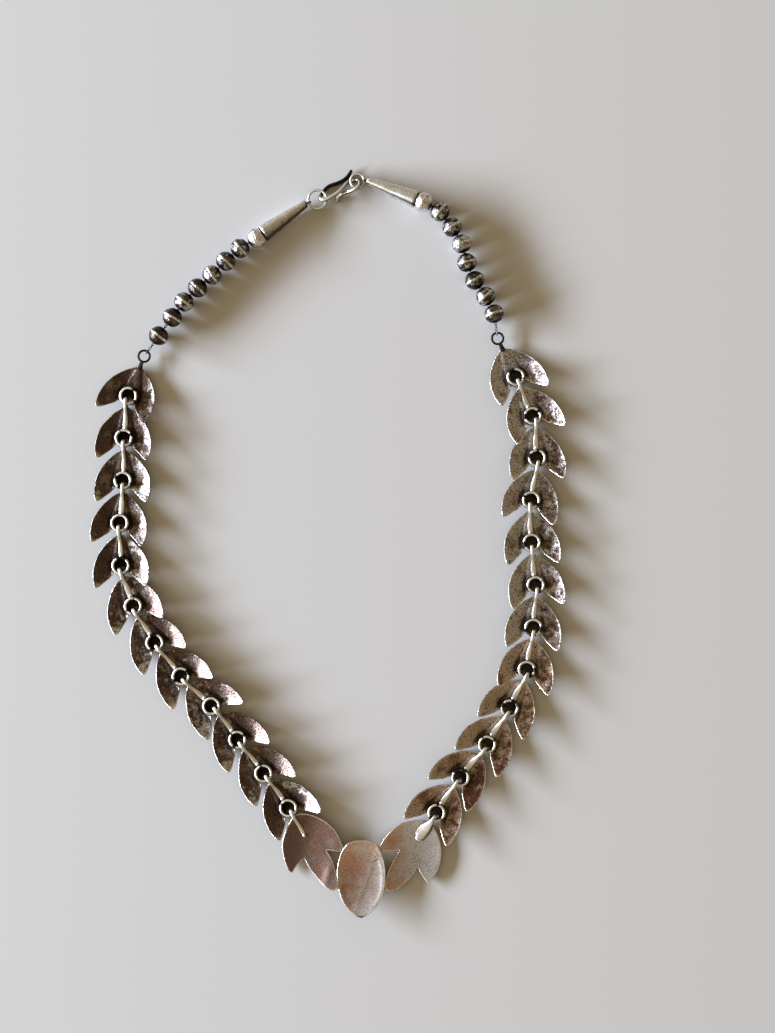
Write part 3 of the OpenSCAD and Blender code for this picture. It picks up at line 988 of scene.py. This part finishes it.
@dataclass
class CentrePlaque:
    """An oval back plate between two wing plates, soldered together, with a strap on each wing."""

    sheet_t: float = 0.75
    centre: Point2 = (10.7, -110.4)
    oval_r: float = 33.25
    wing_r: float = 59.25
    dents: Point2 = (0.14, 7.0)
    seed: int = 3
    # The oval stands this much higher than the solids have it
    lift: float = 1.2
    oval_dish: Point2 = (0, 1.5)
    left_dish: Point2 = (-16, 7.5)
    right_dish: Point2 = (16, 6.6)
    # Width of each strap's pad, and where it runs out
    left_pad: Point2 = (1.4, 9.0)
    right_pad: Point2 = (4.3, 23.0)
    # Solder joints of the right wing, mirrored for the left one
    solder: tuple[Row3, ...] = ((6.4, 8.9, 2.2), (7.8, -3.4, 2.2))
    solder_size: Row3 = (0.9, 0.9, 0.6)
    oval_half: tuple[Row3, ...] = (
        (0, 12.2, 0), (3.9, 11.4, 0), (6.4, 8.6, 0), (7.6, 4.8, 0), (8, 0.8, 0), (7.7, -3.2, 0),
        (6.6, -7, 0), (4.4, -10.4, 0), (1.8, -12.4, 0), (0, -13.1, 1),
    )
    left_wing: tuple[Row3, ...] = (
        (-22.8, 19.6, 1), (-24.6, 16.2, 0), (-26.2, 11.2, 0), (-25.7, 5.8, 0), (-24.4, 2.1, 0), (-23, 0.7, 1),
        (-21.3, 3.2, 0), (-19, 5.5, 1), (-17, 2, 0), (-14, -1.5, 0), (-11.6, -3.8, 0), (-9.4, -4.7, 0),
        (-7.6, -3.7, 1), (-8.5, 1.2, 0), (-9.6, 5.2, 0), (-11.5, 8.5, 1), (-6.9, 8.2, 0), (-5.7, 9.4, 1),
        (-7.2, 12.8, 0), (-9.3, 16, 0), (-12.6, 18.7, 0), (-16.4, 20.4, 0), (-20.6, 20.8, 0),
    )
    right_wing: tuple[Row3, ...] = (
        (22.8, 17.8, 1), (20.2, 18.6, 0), (16.6, 18.3, 0), (12.8, 17.3, 0), (9.8, 15.1, 0), (7.4, 12.1, 0),
        (5.7, 9.4, 1), (6.8, 8.3, 0), (12.7, 8.6, 1), (10.5, 5, 0), (8.7, 1.2, 0), (7.6, -3.4, 1),
        (9.2, -4.8, 0), (11.6, -4.4, 0), (15, -2, 0), (17.4, 0.6, 0), (18.8, 2.6, 1), (19.9, 0.2, 0),
        (22.1, -2.6, 1), (24.2, -0.4, 0), (25.8, 3, 0), (26.6, 7.2, 0), (26, 11.8, 0), (24.6, 15.2, 0),
    )

    @staticmethod
    def dish(x: float, y: float, low: Point2, radius: float) -> float:
        """Rise of a plate that is dished to a radius, above its lowest spot."""
        return radius - math.sqrt(radius**2 - (x - low[0]) ** 2 - (y - low[1]) ** 2)

    @staticmethod
    def crease(x: float, y: float) -> float:
        """Distance from the oval's crease, positive on its right."""
        return x - 2.1 - 0.37 * y

    def oval_top(self, x: float, y: float) -> float:
        """Height of the oval, with the soft crease across it and the raised line inside its right rim.

        Args:
            x, y: place on the oval.

        Returns:
            The height.
        """
        crease = self.crease(x, y)
        ridge = 0.1 * bell(crease / 0.9) + 0.04 * max(0.0, crease)
        beside_rim = (math.hypot(x / 7.9, (y + 0.5) / 12.7) - 0.89) / 0.045
        z = self.sheet_t + self.lift + self.dish(x, y, self.oval_dish, self.oval_r)
        return z + ridge + 0.07 * bell(beside_rim) * smoothstep(2.0, 5.0, x)

    def oval_wear_and_light(self, x: float, y: float, edge: float) -> WearAndLight:
        """Marks of the oval: stained on the left of its crease, with a painted highlight along the line inside
        its right rim and painted shade just inside its rim.

        Args:
            x, y: place on the oval.
            edge: distance from its edge.

        Returns:
            Hollow, rim and tone.
        """
        crease = self.crease(x, y)
        # Painted highlight on the raised line inside the right rim
        line = bell((edge - 0.95) / 0.28) * smoothstep(3.0, 6.0, x)
        streak = 0.4 * bell(crease / 0.9) * smoothstep(-10.0, -6.0, y)
        low_left = 0.3 * smoothstep(2.0, -7.0, y) * smoothstep(0.0, -3.0, crease)
        crack = bell((y - 5.2 - 0.6 * (x - 4.6)) / 0.28) * smoothstep(1.2, 0.8, abs(x - 4.6))
        tip = smoothstep(-11.8, -12.9, y)
        # Painted shade just inside the raised rim
        shade_inside_rim = 0.2 * smoothstep(0.3, 1.6, edge) * smoothstep(3.0, 1.0, edge)
        rim = clamp(smoothstep(0.5, 0.1, edge) * (1 - tip) + 0.9 * line + streak)
        red = 0.25 * bell((x + 4.2) / 2.0, (y - 5.0) / 4.0)
        tone = clamp(0.05 + 0.6 * smoothstep(1.5, -1.5, crease) + red)
        return (clamp(shade_inside_rim + crack + tip + low_left), rim, tone)

    def wing_top(self, low: Point2, x: float, y: float) -> float:
        """Height of a wing; the left one has a soft swelling on its inner lobe.

        Args:
            low: the wing's lowest spot.
            x, y: place on the plaque.

        Returns:
            The height.
        """
        swell = bell((x + 11.0 - 0.2 * y) / 1.5, (y - 0.6) / 3.2)
        # The wings rise to the oval, which stands a little higher than they do
        rise = self.lift * smoothstep(21.0, 7.0, abs(x))
        return self.sheet_t + self.dish(x, y, low, self.wing_r) + 0.3 * swell + rise

    def wing_wear_and_light(self, side: Side, x: float, y: float, edge: float) -> WearAndLight:
        """Marks of a wing: the left one is darker, and a painted shadow lies beside the pad of its strap.

        Args:
            side: the wing's side.
            x, y: place on the plaque.
            edge: distance from the wing's edge.

        Returns:
            Hollow, rim and tone.
        """
        route = ROUTES[side]
        to_strap = placed(route.wing_strap(), route.wing_way).inverted()
        spot = to_strap @ Vector((x + self.centre[0], y + self.centre[1], 0))
        # Painted shadow beside the strap's raised pad
        pad_shadow = smoothstep(2.3, 1.2, abs(spot.x - 0.3)) * smoothstep(3.0, 3.8, spot.y)
        near_leaf = smoothstep(8.0, 2.0, math.hypot(abs(x) - 21.5, y - 18.5))
        if side is Side.LEFT:
            hollow, tone = 0.4 * near_leaf + 0.66 + 0.3 * smoothstep(-15.0, -22.0, x), 1.0
        else:
            hollow, tone = 0.1 * near_leaf, 0.75 * smoothstep(19.0, 10.0, x)
        rim = smoothstep(0.5, 0.1, edge)
        return (clamp(hollow + 0.7 * pad_shadow), rim, clamp(tone + 0.4 * pad_shadow))

    def build(self, plates: Silver, wire: Silver) -> None:
        """Makes the three plates, their solder and the two straps.

        Args:
            plates: finish of the plates.
            wire: finish of the straps.
        """
        body, straps = Shape(), Shape()
        oval = smooth_outline(mirrored(self.oval_half), steps=8)
        body.sheet(oval, self.oval_top, self.sheet_t, self.oval_wear_and_light, spacing=0.36)
        for side, sign, rows, low, pad in (
            (Side.LEFT, -1, self.left_wing, self.left_dish, self.left_pad),
            (Side.RIGHT, 1, self.right_wing, self.right_dish, self.right_pad),
        ):
            top, wear = partial(self.wing_top, low), partial(self.wing_wear_and_light, side)
            body.sheet(smooth_outline(rows, steps=6), top, self.sheet_t, wear)
            for x, y, z in self.solder:
                body.blob(Vector((sign * x, y, z)), self.solder_size, SOLDER)
            route = ROUTES[side]
            straps.join(LeafLink().strap(*pad), placed(route.wing_strap(), route.wing_way))
        body.dented(*self.dents, self.seed)
        place = Matrix.Translation((*self.centre, 0))
        dress(body.to_object("centre_plaque_plates", plates, place), "centre_plaque")
        dress(straps.to_object("centre_plaque_straps", wire), "centre_plaque")


@dataclass
class BeadString:
    """Round hollow beads, each of two halves soldered at the middle of its length."""

    hole_d: float = 2.1
    seam_w: float = 0.5
    lip: float = 0.16
    wall: float = 0.3
    dents: Point2 = (0.13, 2.6)
    left_seed: int = 10
    right_seed: int = 40
    # Most that a bead sits askew on the chain, in degrees
    askew: float = 16.0
    askew_pattern: Row3 = (3.7, 1.3, 8.2)
    tone_pattern: Row3 = (2.3, 4.1, 0.2)
    # The last bead before the cone is rubbed this much brighter
    last_bright: float = 0.5

    def bead(self, seed: float) -> Shape:
        """One bead with its axis along Z.

        Args:
            seed: picks its dents.

        Returns:
            The outer shell and the lining of its hole.
        """
        hole, steps = self.hole_d / 2, 14
        cap = ((BEAD_D / 2) ** 2 / (BEAD_LEN / 2) + BEAD_LEN / 2) / 2
        off = cap - BEAD_LEN / 2
        first = math.asin(hole / cap)
        half = []
        for i in range(steps + 1):
            a = first + (math.acos(off / cap) - first) * i / steps
            z, radius = cap * math.cos(a) - off, cap * math.sin(a)
            near_seam = smoothstep(self.seam_w * 0.75, self.seam_w * 0.4, z)
            groove = bell((z - self.seam_w * 0.8) / 0.16)
            # Near the holes, where the beads meet, tarnish and painted shade
            hollow = clamp(smoothstep(2.1, 0.4, radius - hole) + 0.9 * groove)
            half.append((radius + BEAD_SEAM * near_seam - 0.1 * groove, z, hollow, near_seam + 0.15))
        outer = [(r, -z, h, m) for r, z, h, m in half] + half[-2::-1]
        ends = (outer[-1][1] - self.wall, outer[0][1] + self.wall)
        shape = Shape()
        shape.spin(lambda _: outer + [(hole - self.lip, z, 1.0, 0.0) for z in ends], sides=40)
        shape.dented(*self.dents, seed)
        return shape

    def build(self, route: Route, silver: Silver) -> None:
        """Strings the eight beads of one side.

        Args:
            route: the side.
            silver: finish of the beads.
        """
        line = route.bead_line()
        left = route.side is Side.LEFT
        for i in range(1, len(line)):
            seed = i + (self.left_seed if left else self.right_seed)
            way = line[min(i + 1, len(line) - 1)] - line[i - 1]
            turn = Matrix.Rotation(math.atan2(way.y, way.x), 4, "Z") @ Matrix.Rotation(math.pi / 2, 4, "Y")
            tilt = math.radians(self.askew * by_seed(seed, self.askew_pattern))
            place = Matrix.Translation((line[i].x, line[i].y, BEAD_Z)) @ turn @ Matrix.Rotation(tilt, 4, "X")
            shape = self.bead(seed)
            tone = 0.62 + 0.6 * by_seed(seed, self.tone_pattern) + (0.2 if left else 0.0)
            bright = self.last_bright if i == len(line) - 1 else 0.0
            tone = clamp(tone - 0.1) * (1 - bright)
            shape.wear = [(h * (1 - bright), clamp(r + bright), tone) for h, r, _ in shape.wear]
            name = f"bead_{route.side.value}_{i}"
            dress(shape.to_object(f"{name}_shell", silver, place), name)


@dataclass
class EndCone:
    """A cone rolled from sheet, with soft facets from the hammer and a seam along one side.

    The seam lies at an angle about the cone's own axis: on the left cone its groove and the tarnish
    beside it show from above, and on the right one they are turned away.
    """

    tip_d: float = 2.6
    wall: float = 0.4
    facets: int = 9
    dents: Point2 = (0.08, 4.0)
    left_seed: int = 5
    right_seed: int = 8
    left_seam_at: float = -125.0
    right_seam_at: float = 130.0
    left_streak: float = 0.45
    right_streak: float = 0.1

    def profile(self, side: Side, angle: float) -> Profile:
        """Section of the cone at an angle about its axis.

        Args:
            side: the cone's side.
            angle: place round it.

        Returns:
            Rows of [radius, height, hollow, rim], up the outside and down the inside.
        """
        left = side is Side.LEFT
        seam = math.radians(self.left_seam_at if left else self.right_seam_at)
        gap = abs((angle - seam + math.pi) % (2 * math.pi) - math.pi)
        flat = 1 - 0.03 * (1 - math.cos(self.facets * angle)) / 2
        streak = self.left_streak if left else self.right_streak
        streak *= smoothstep(0.9, 0.5, gap) + 0.8 * smoothstep(0.4, 0.15, gap)
        rows = []
        for i in range(27):
            t = i / 26
            r = (MOUTH_D * (1 - t) + self.tip_d * t) / 2 * flat - 0.16 * bell(gap / 0.07)
            r -= 0.1 * smoothstep(0.03, 0.0, t) + 0.08 * smoothstep(0.97, 1.0, t)
            hollow = clamp(bell(gap / 0.12) + streak + 0.7 * smoothstep(0.95, 1.0, t))
            rows.append((r, t * CONE_LEN, hollow, 0.5 * smoothstep(0.3, 0.1, hollow)))
        for t in (1.0, 0.5, 0.0):
            r = (MOUTH_D * (1 - t) + self.tip_d * t) / 2 * flat - self.wall
            rows.append((r, t * CONE_LEN, 1.0, 0.0))
        return rows

    def build(self, route: Route, silver: Silver) -> None:
        """Makes the cone of one side.

        Args:
            route: the side.
            silver: finish of the cone.
        """
        shape = Shape()
        shape.spin(partial(self.profile, route.side), sides=72)
        shape.dented(*self.dents, self.left_seed if route.side is Side.LEFT else self.right_seed)
        drop = math.atan2(MOUTH_Z - CLASP_Z, CONE_LEN)
        way = math.radians(route.cone_way)
        turn = Matrix.Rotation(way, 4, "Z") @ Matrix.Rotation(math.pi / 2 + drop, 4, "Y")
        place = Matrix.Translation((*route.mouth(), MOUTH_Z)) @ turn
        name = f"cone_{route.side.value}"
        dress(shape.to_object(f"{name}_sheet", silver, place), name)


@dataclass
class FineChain:
    """Small oval links that run from the eye ring through the beads and the cone to the clasp ring."""

    link_len: float = 1.5
    link_w: float = 1.0
    wire: float = 0.3
    loop_wire: float = 0.45
    loop_gap: float = 0.15
    # How far past the end loops the links begin
    eye_gap: float = 0.6
    clasp_gap: float = 0.5
    link_wear: WearAndLight = (0.75, 0.3, 0.7)

    def loop_r(self, wire: float) -> float:
        """Mean radius of an end loop round a ring of that wire."""
        return wire / 2 + self.loop_gap + self.loop_wire / 2

    @staticmethod
    def loop_wear(_: float, up: float) -> WearAndLight:
        """Wear of the end loops: dark, and a little less so on top."""
        return (0.9 - 0.5 * clamp(up), 0.35, 0.8)

    def tree(self, silver: Silver) -> bpy.types.NodeTree:
        """Geometry tree that lays links along a line, each a quarter turn from the last.

        Args:
            silver: finish of the links.

        Returns:
            The node group, with the link's sizes as named inputs.
        """
        tree = bpy.data.node_groups.new("links_along_line", "GeometryNodeTree")
        add, face = partial(add_node, tree), tree.interface
        face.new_socket(name="Line", in_out="INPUT", socket_type="NodeSocketGeometry")
        for name in ("Link length", "Link width", "Wire"):
            face.new_socket(name=name, in_out="INPUT", socket_type="NodeSocketFloat")
        face.new_socket(name="Links", in_out="OUTPUT", socket_type="NodeSocketGeometry")
        line, length, width, wire = list(add("NodeGroupInput"))[:4]
        # Links overlap by their wire at each end, so the pitch is the length less two wires
        pitch = add("ShaderNodeMath", {"operation": "MULTIPLY_ADD"}, {0: wire, 1: -2.0, 2: length})[0]
        curve = add("GeometryNodeMeshToCurve", inputs={0: line})[0]
        spots = add("GeometryNodeResampleCurve", {"mode": "LENGTH"}, {0: curve, "Length": pitch})[0]
        less = {"operation": "SUBTRACT"}
        long, wide = (add("ShaderNodeMath", less, {0: size, 1: wire})[0] for size in (length, width))
        stretch = add("ShaderNodeCombineXYZ", inputs={0: long, 1: wide, 2: 1.0})[0]
        circle = add("GeometryNodeCurvePrimitiveCircle", inputs={"Resolution": 20, "Radius": 0.5})[0]
        oval = add("GeometryNodeTransform", inputs={0: circle, "Scale": stretch})[0]
        half_wire = add("ShaderNodeMath", {"operation": "MULTIPLY"}, {0: wire, 1: 0.5})[0]
        section = add("GeometryNodeCurvePrimitiveCircle", inputs={"Resolution": 8, "Radius": half_wire})[0]
        link = add("GeometryNodeCurveToMesh", inputs={0: oval, 1: section})[0]
        tangent = add("GeometryNodeInputTangent")[0]
        aligned = add("FunctionNodeAlignRotationToVector", {"axis": "X"}, {"Vector": tangent})[0]
        index = add("GeometryNodeInputIndex")[0]
        quarter = add("ShaderNodeMath", {"operation": "MULTIPLY"}, {0: index, 1: math.pi / 2})[0]
        roll = add("ShaderNodeCombineXYZ", inputs={0: quarter})[0]
        turned = add("FunctionNodeRotateRotation", {"rotation_space": "LOCAL"}, {0: aligned, 1: roll})[0]
        laid = {0: spots, "Instance": link, "Rotation": turned}
        links = add("GeometryNodeInstanceOnPoints", inputs=laid)[0]
        smooth = add("GeometryNodeSetShadeSmooth", inputs={0: links})[0]
        real = add("GeometryNodeRealizeInstances", inputs={0: smooth})[0]
        dressed = add("GeometryNodeSetMaterial", inputs={0: real, "Material": silver})[0]
        add("NodeGroupOutput", inputs={0: dressed})
        return tree

    def path(self, route: Route) -> list[Vector]:
        """Middle line of the links.

        Args:
            route: the side.

        Returns:
            Close points from the loop at the eye ring to the loop at the clasp ring.
        """
        first, final = (
            (*(end.centre + (end.wall_r + self.loop_r(end.wire) + gap) * end.way), end.z)
            for end, gap in zip(route.ends(), (self.eye_gap, self.clasp_gap))
        )
        rows = [first] + [(*spot, BEAD_Z) for spot in route.bead_line()[1:]] + [(*route.mouth(), MOUTH_Z)]
        rows += [(*((route.mouth() + route.tip()) / 2), (MOUTH_Z + CLASP_Z) / 2), final]
        return smooth_rows(rows, steps=6)

    def links(self, path: Sequence[Vector], silver: Silver) -> bpy.types.Mesh:
        """Lays the links along a line with the geometry tree.

        Args:
            path: the line.
            silver: finish of the links.

        Returns:
            The links as one plain mesh, in metres.
        """
        mesh = bpy.data.meshes.new("chain_path")
        mesh.from_pydata([tuple(p * MM) for p in path], [(i, i + 1) for i in range(len(path) - 1)], [])
        guide = put_in_scene("chain_path", mesh)
        lay = guide.modifiers.new("links", "NODES")
        lay.node_group = self.tree(silver)
        sizes = {"Link length": self.link_len, "Link width": self.link_w, "Wire": self.wire}
        for item in lay.node_group.interface.items_tree:
            if item.in_out == "INPUT" and item.name in sizes:
                lay[item.identifier] = sizes[item.name] * MM
        evaluated = guide.evaluated_get(bpy.context.evaluated_depsgraph_get())
        links = bpy.data.meshes.new_from_object(evaluated)
        guide.modifiers.remove(lay)
        bpy.data.objects.remove(guide)
        layer = links.color_attributes.new("wear", "FLOAT_COLOR", "POINT")
        layer.data.foreach_set("color", [*self.link_wear, 1.0] * len(links.vertices))
        return links

    def build(self, route: Route, silver: Silver) -> None:
        """Lays the chain of one side, with a larger loop at each end.

        Args:
            route: the side.
            silver: finish of the chain.
        """
        name = f"chain_{route.side.value}"
        made = put_in_scene(f"{name}_links", self.links(self.path(route), silver))
        dress(made, name)
        loops = Shape()
        for end in route.ends():
            spot = end.centre + end.wall_r * end.way
            way = math.atan2(end.way.y, end.way.x)
            turn = Matrix.Rotation(way, 4, "Z") @ Matrix.Rotation(math.pi / 2, 4, "X")
            place = Matrix.Translation((spot.x, spot.y, end.z)) @ turn
            loops.wire_ring(place, self.loop_r(end.wire), self.loop_wire, self.loop_wear)
        dress(loops.to_object(f"{name}_end_loops", silver), name)


@dataclass
class Clasp:
    """Two rings and the S-hook that joins them.

    Each row of the hook is [0 or 1 for the left or right ring whose centre it is measured from, x, y,
    height, width, thickness].
    """

    rows: tuple[tuple[float, ...], ...] = (
        (1, -1.9, 3.8, 1.1, 0.9, 0.9), (1, -2.6, 2.5, 0.75, 1.2, 1.1), (1, -3.7, 1.2, 0.65, 1.2, 1.2),
        (1, -5.1, 0.2, 0.65, 1.2, 1.2), (0, 6.3, 5.5, 0.65, 1.2, 1.2), (0, 4.4, 4.9, 0.65, 1.2, 1.2),
        (0, 2.9, 3.9, 0.65, 1.2, 1.2), (0, 1.9, 2.6, 0.75, 1.2, 1.2), (0, 1.2, 1.4, 1.3, 1.2, 1.2),
        (0, 1, 0.4, 2.2, 1.2, 1.2), (0, 1.7, -0.3, 2.95, 1.2, 1.2), (0, 3.2, -0.1, 3.15, 1.2, 1.2),
        (1, -8.3, -5.2, 3.05, 1.4, 1.1), (1, -6.5, -4, 2.75, 1.5, 1.1), (1, -5, -2.4, 2.1, 1.5, 1.1),
        (1, -3.9, -0.9, 1.3, 1.4, 1.1), (1, -3.1, -0.1, 0.75, 1.3, 1.2), (1, -2, 0.3, 0.65, 1.2, 1.2),
        (1, -0.8, 0.5, 0.95, 1.2, 1.2), (1, 0.2, 0.2, 1.6, 1.2, 1.2), (1, 0.6, -0.6, 2.4, 1.2, 1.2),
        (1, 0.4, -1.7, 3, 1.2, 1.2), (1, -0.6, -2.8, 3.15, 1.2, 1.2), (1, -2.2, -3.5, 2.6, 1.2, 1.2),
        (1, -3.8, -3.8, 1.7, 1.2, 1.2), (1, -5.4, -4.4, 1, 1.2, 1.2), (1, -6.5, -5.5, 0.75, 1.2, 1.2),
        (1, -7, -6.9, 0.65, 1.2, 1.1),
    )
    # Share of the hook's length, its first leg, painted nearly black: painted shade, as that leg mirrors the
    # dark room
    shaded_leg_share: float = 0.3

    def wear(self, share: float, up: float) -> WearAndLight:
        """Marks of the hook: its first leg is painted nearly black as painted shade, and the rest has painted
        shade on its sides and underside and is rubbed bright on top with a painted highlight.
        """
        # The first leg is painted nearly black as painted shade; elsewhere painted shade on the sides and
        # underside, and a painted highlight on the rubbed top
        black = smoothstep(self.shaded_leg_share + 0.04, self.shaded_leg_share - 0.04, share)
        return (max(black, smoothstep(0.8, 0.45, up)), 0.95 * smoothstep(0.55, 0.9, up) * (1 - black), EVEN)

    def build(self, silver: Silver) -> None:
        """Makes both rings and the hook.

        Args:
            silver: finish of the clasp.
        """
        centres = [route.clasp() for route in ROUTES.values()]
        for route, centre in zip(ROUTES.values(), centres):
            ring = Shape()
            place = Matrix.Translation((centre.x, centre.y, CLASP_Z))
            # Painted shade on the ring's sides and underside, and a painted highlight on its rubbed top
            ring.wire_ring(place, route.ring_r(), CLASP_WIRE, shaded_sides_lit_top(hollow=0.9, rim=0.9, edge=0.5))
            name = f"clasp_ring_{route.side.value}"
            dress(ring.to_object(f"{name}_wire", silver), name)
        rows = [(centres[int(k)].x + x, centres[int(k)].y + y, z, w, t) for k, x, y, z, w, t in self.rows]
        fine = smooth_rows(rows, steps=5)
        hook = Shape()
        line, sizes = [Vector(r[:3]) for r in fine], [(r[3], r[4]) for r in fine]
        hook.sweep(line, sizes, square=2.4, wear=self.wear)
        dress(hook.to_object("clasp_hook_bar", silver), "clasp_hook")


@dataclass
class Studio:
    """Plain pale floor in a warm room, one long low window light far to the left, and the camera overhead."""

    look_at: Point2 = (19.4, 8.7)
    camera_height: float = 520.0
    floor: str = "C9C6C8"
    floor_size: float = 2600.0
    # The floor lies this far under the necklace, so that the two never share a plane
    floor_drop: float = 0.02
    bright_wall: str = "FFE6B4"
    dim_wall: str = "CBB68C"
    room: float = 0.56
    # Straight overhead the room is this share as bright as its walls, and flat plates mirror that
    ceiling: float = 0.5
    window_spot: Row3 = (-2600, 60, 600)
    window_size: Point2 = (2400, 380)
    window_watts: float = 335.0
    window: str = "D8E6F4"

    def camera(self) -> None:
        """Camera whose frame covers the photograph's stretch of floor."""
        lens = bpy.data.cameras.new("overhead")
        lens.lens = lens.sensor_width * self.camera_height / (PHOTO_SIZE_PX[1] * MM_PER_PX)
        lens.clip_start, lens.clip_end = 0.01, 10
        eye = put_in_scene("overhead", lens)
        eye.location = Vector((*self.look_at, self.camera_height)) * MM
        bpy.context.scene.camera = eye

    def ground(self) -> None:
        """The floor, of matt paper that shows no gloss."""
        half = self.floor_size / 2 * MM
        corners = [(-half, -half, 0), (half, -half, 0), (half, half, 0), (-half, half, 0)]
        mesh = bpy.data.meshes.new("floor")
        mesh.from_pydata(corners, [], [(0, 1, 2, 3)])
        paper = bpy.data.materials.new("matt_paper")
        paper.use_nodes = True
        shader = paper.node_tree.nodes["Principled BSDF"]
        shader.inputs["Base Color"].default_value = linear(self.floor)
        shader.inputs["Roughness"].default_value = 0.9
        mesh.materials.append(paper)
        floor = put_in_scene("floor", mesh)
        floor.location.z = -self.floor_drop * MM

    def lamp(self) -> None:
        """The window, a rectangle of daylight that faces the middle of the necklace."""
        data = bpy.data.lights.new("window", "AREA")
        data.shape = "RECTANGLE"
        data.size, data.size_y = self.window_size[0] * MM, self.window_size[1] * MM
        data.energy = self.window_watts
        data.color = linear(self.window)[:3]
        made = put_in_scene("window", data)
        spot = Vector(self.window_spot)
        made.location = spot * MM
        made.rotation_euler = (Vector((*self.look_at, 0)) - spot).to_track_quat("-Z", "Y").to_euler()

    def walls(self) -> None:
        """The room, whose walls are brighter on the window's side and which is darker overhead."""
        world = bpy.data.worlds.new("room")
        world.use_nodes = True
        tree = world.node_tree
        add = partial(add_node, tree)
        axes = add("ShaderNodeSeparateXYZ", inputs={0: add("ShaderNodeTexCoord")["Generated"]})
        shade = add("ShaderNodeMapRange", inputs={0: axes[0], 1: -0.8, 2: 0.7, 3: 0.0, 4: 1.0})[0]
        hues = {0: shade, 6: linear(self.bright_wall), 7: linear(self.dim_wall)}
        heights = {0: axes[2], 1: 0.8, 2: 0.97, 3: self.room, 4: self.room * self.ceiling}
        colour = add("ShaderNodeMix", {"data_type": "RGBA"}, hues)[2]
        strength = add("ShaderNodeMapRange", {"interpolation_type": "SMOOTHSTEP"}, heights)[0]
        tree.links.new(colour, tree.nodes["Background"].inputs["Color"])
        tree.links.new(strength, tree.nodes["Background"].inputs["Strength"])
        bpy.context.scene.world = world

    def build(self) -> None:
        """Sets up camera, floor, room and window."""
        self.camera()
        self.ground()
        self.walls()
        self.lamp()
        bpy.context.scene.view_settings.view_transform = "Standard"


def main() -> None:
    """Builds the studio and the pieces, each of which logs its face count."""
    logging.basicConfig(level=logging.INFO, format="%(message)s")
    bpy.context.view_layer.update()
    Studio().build()
    leaf, red_leaf, plaque, bead, cone, wire = (
        finish.material()
        for finish in (LEAF_SILVER, RED_LEAF_SILVER, PLAQUE_SILVER, BEAD_SILVER, CONE_SILVER, WIRE_SILVER)
    )
    CentrePlaque().build(plaque, wire)
    for route in ROUTES.values():
        LeafLink().build(route, leaf, red_leaf, wire)
        BeadString().build(route, bead)
        EndCone().build(route, cone)
        FineChain().build(route, wire)
    Clasp().build(wire)


if __name__ == "__main__":
    main()
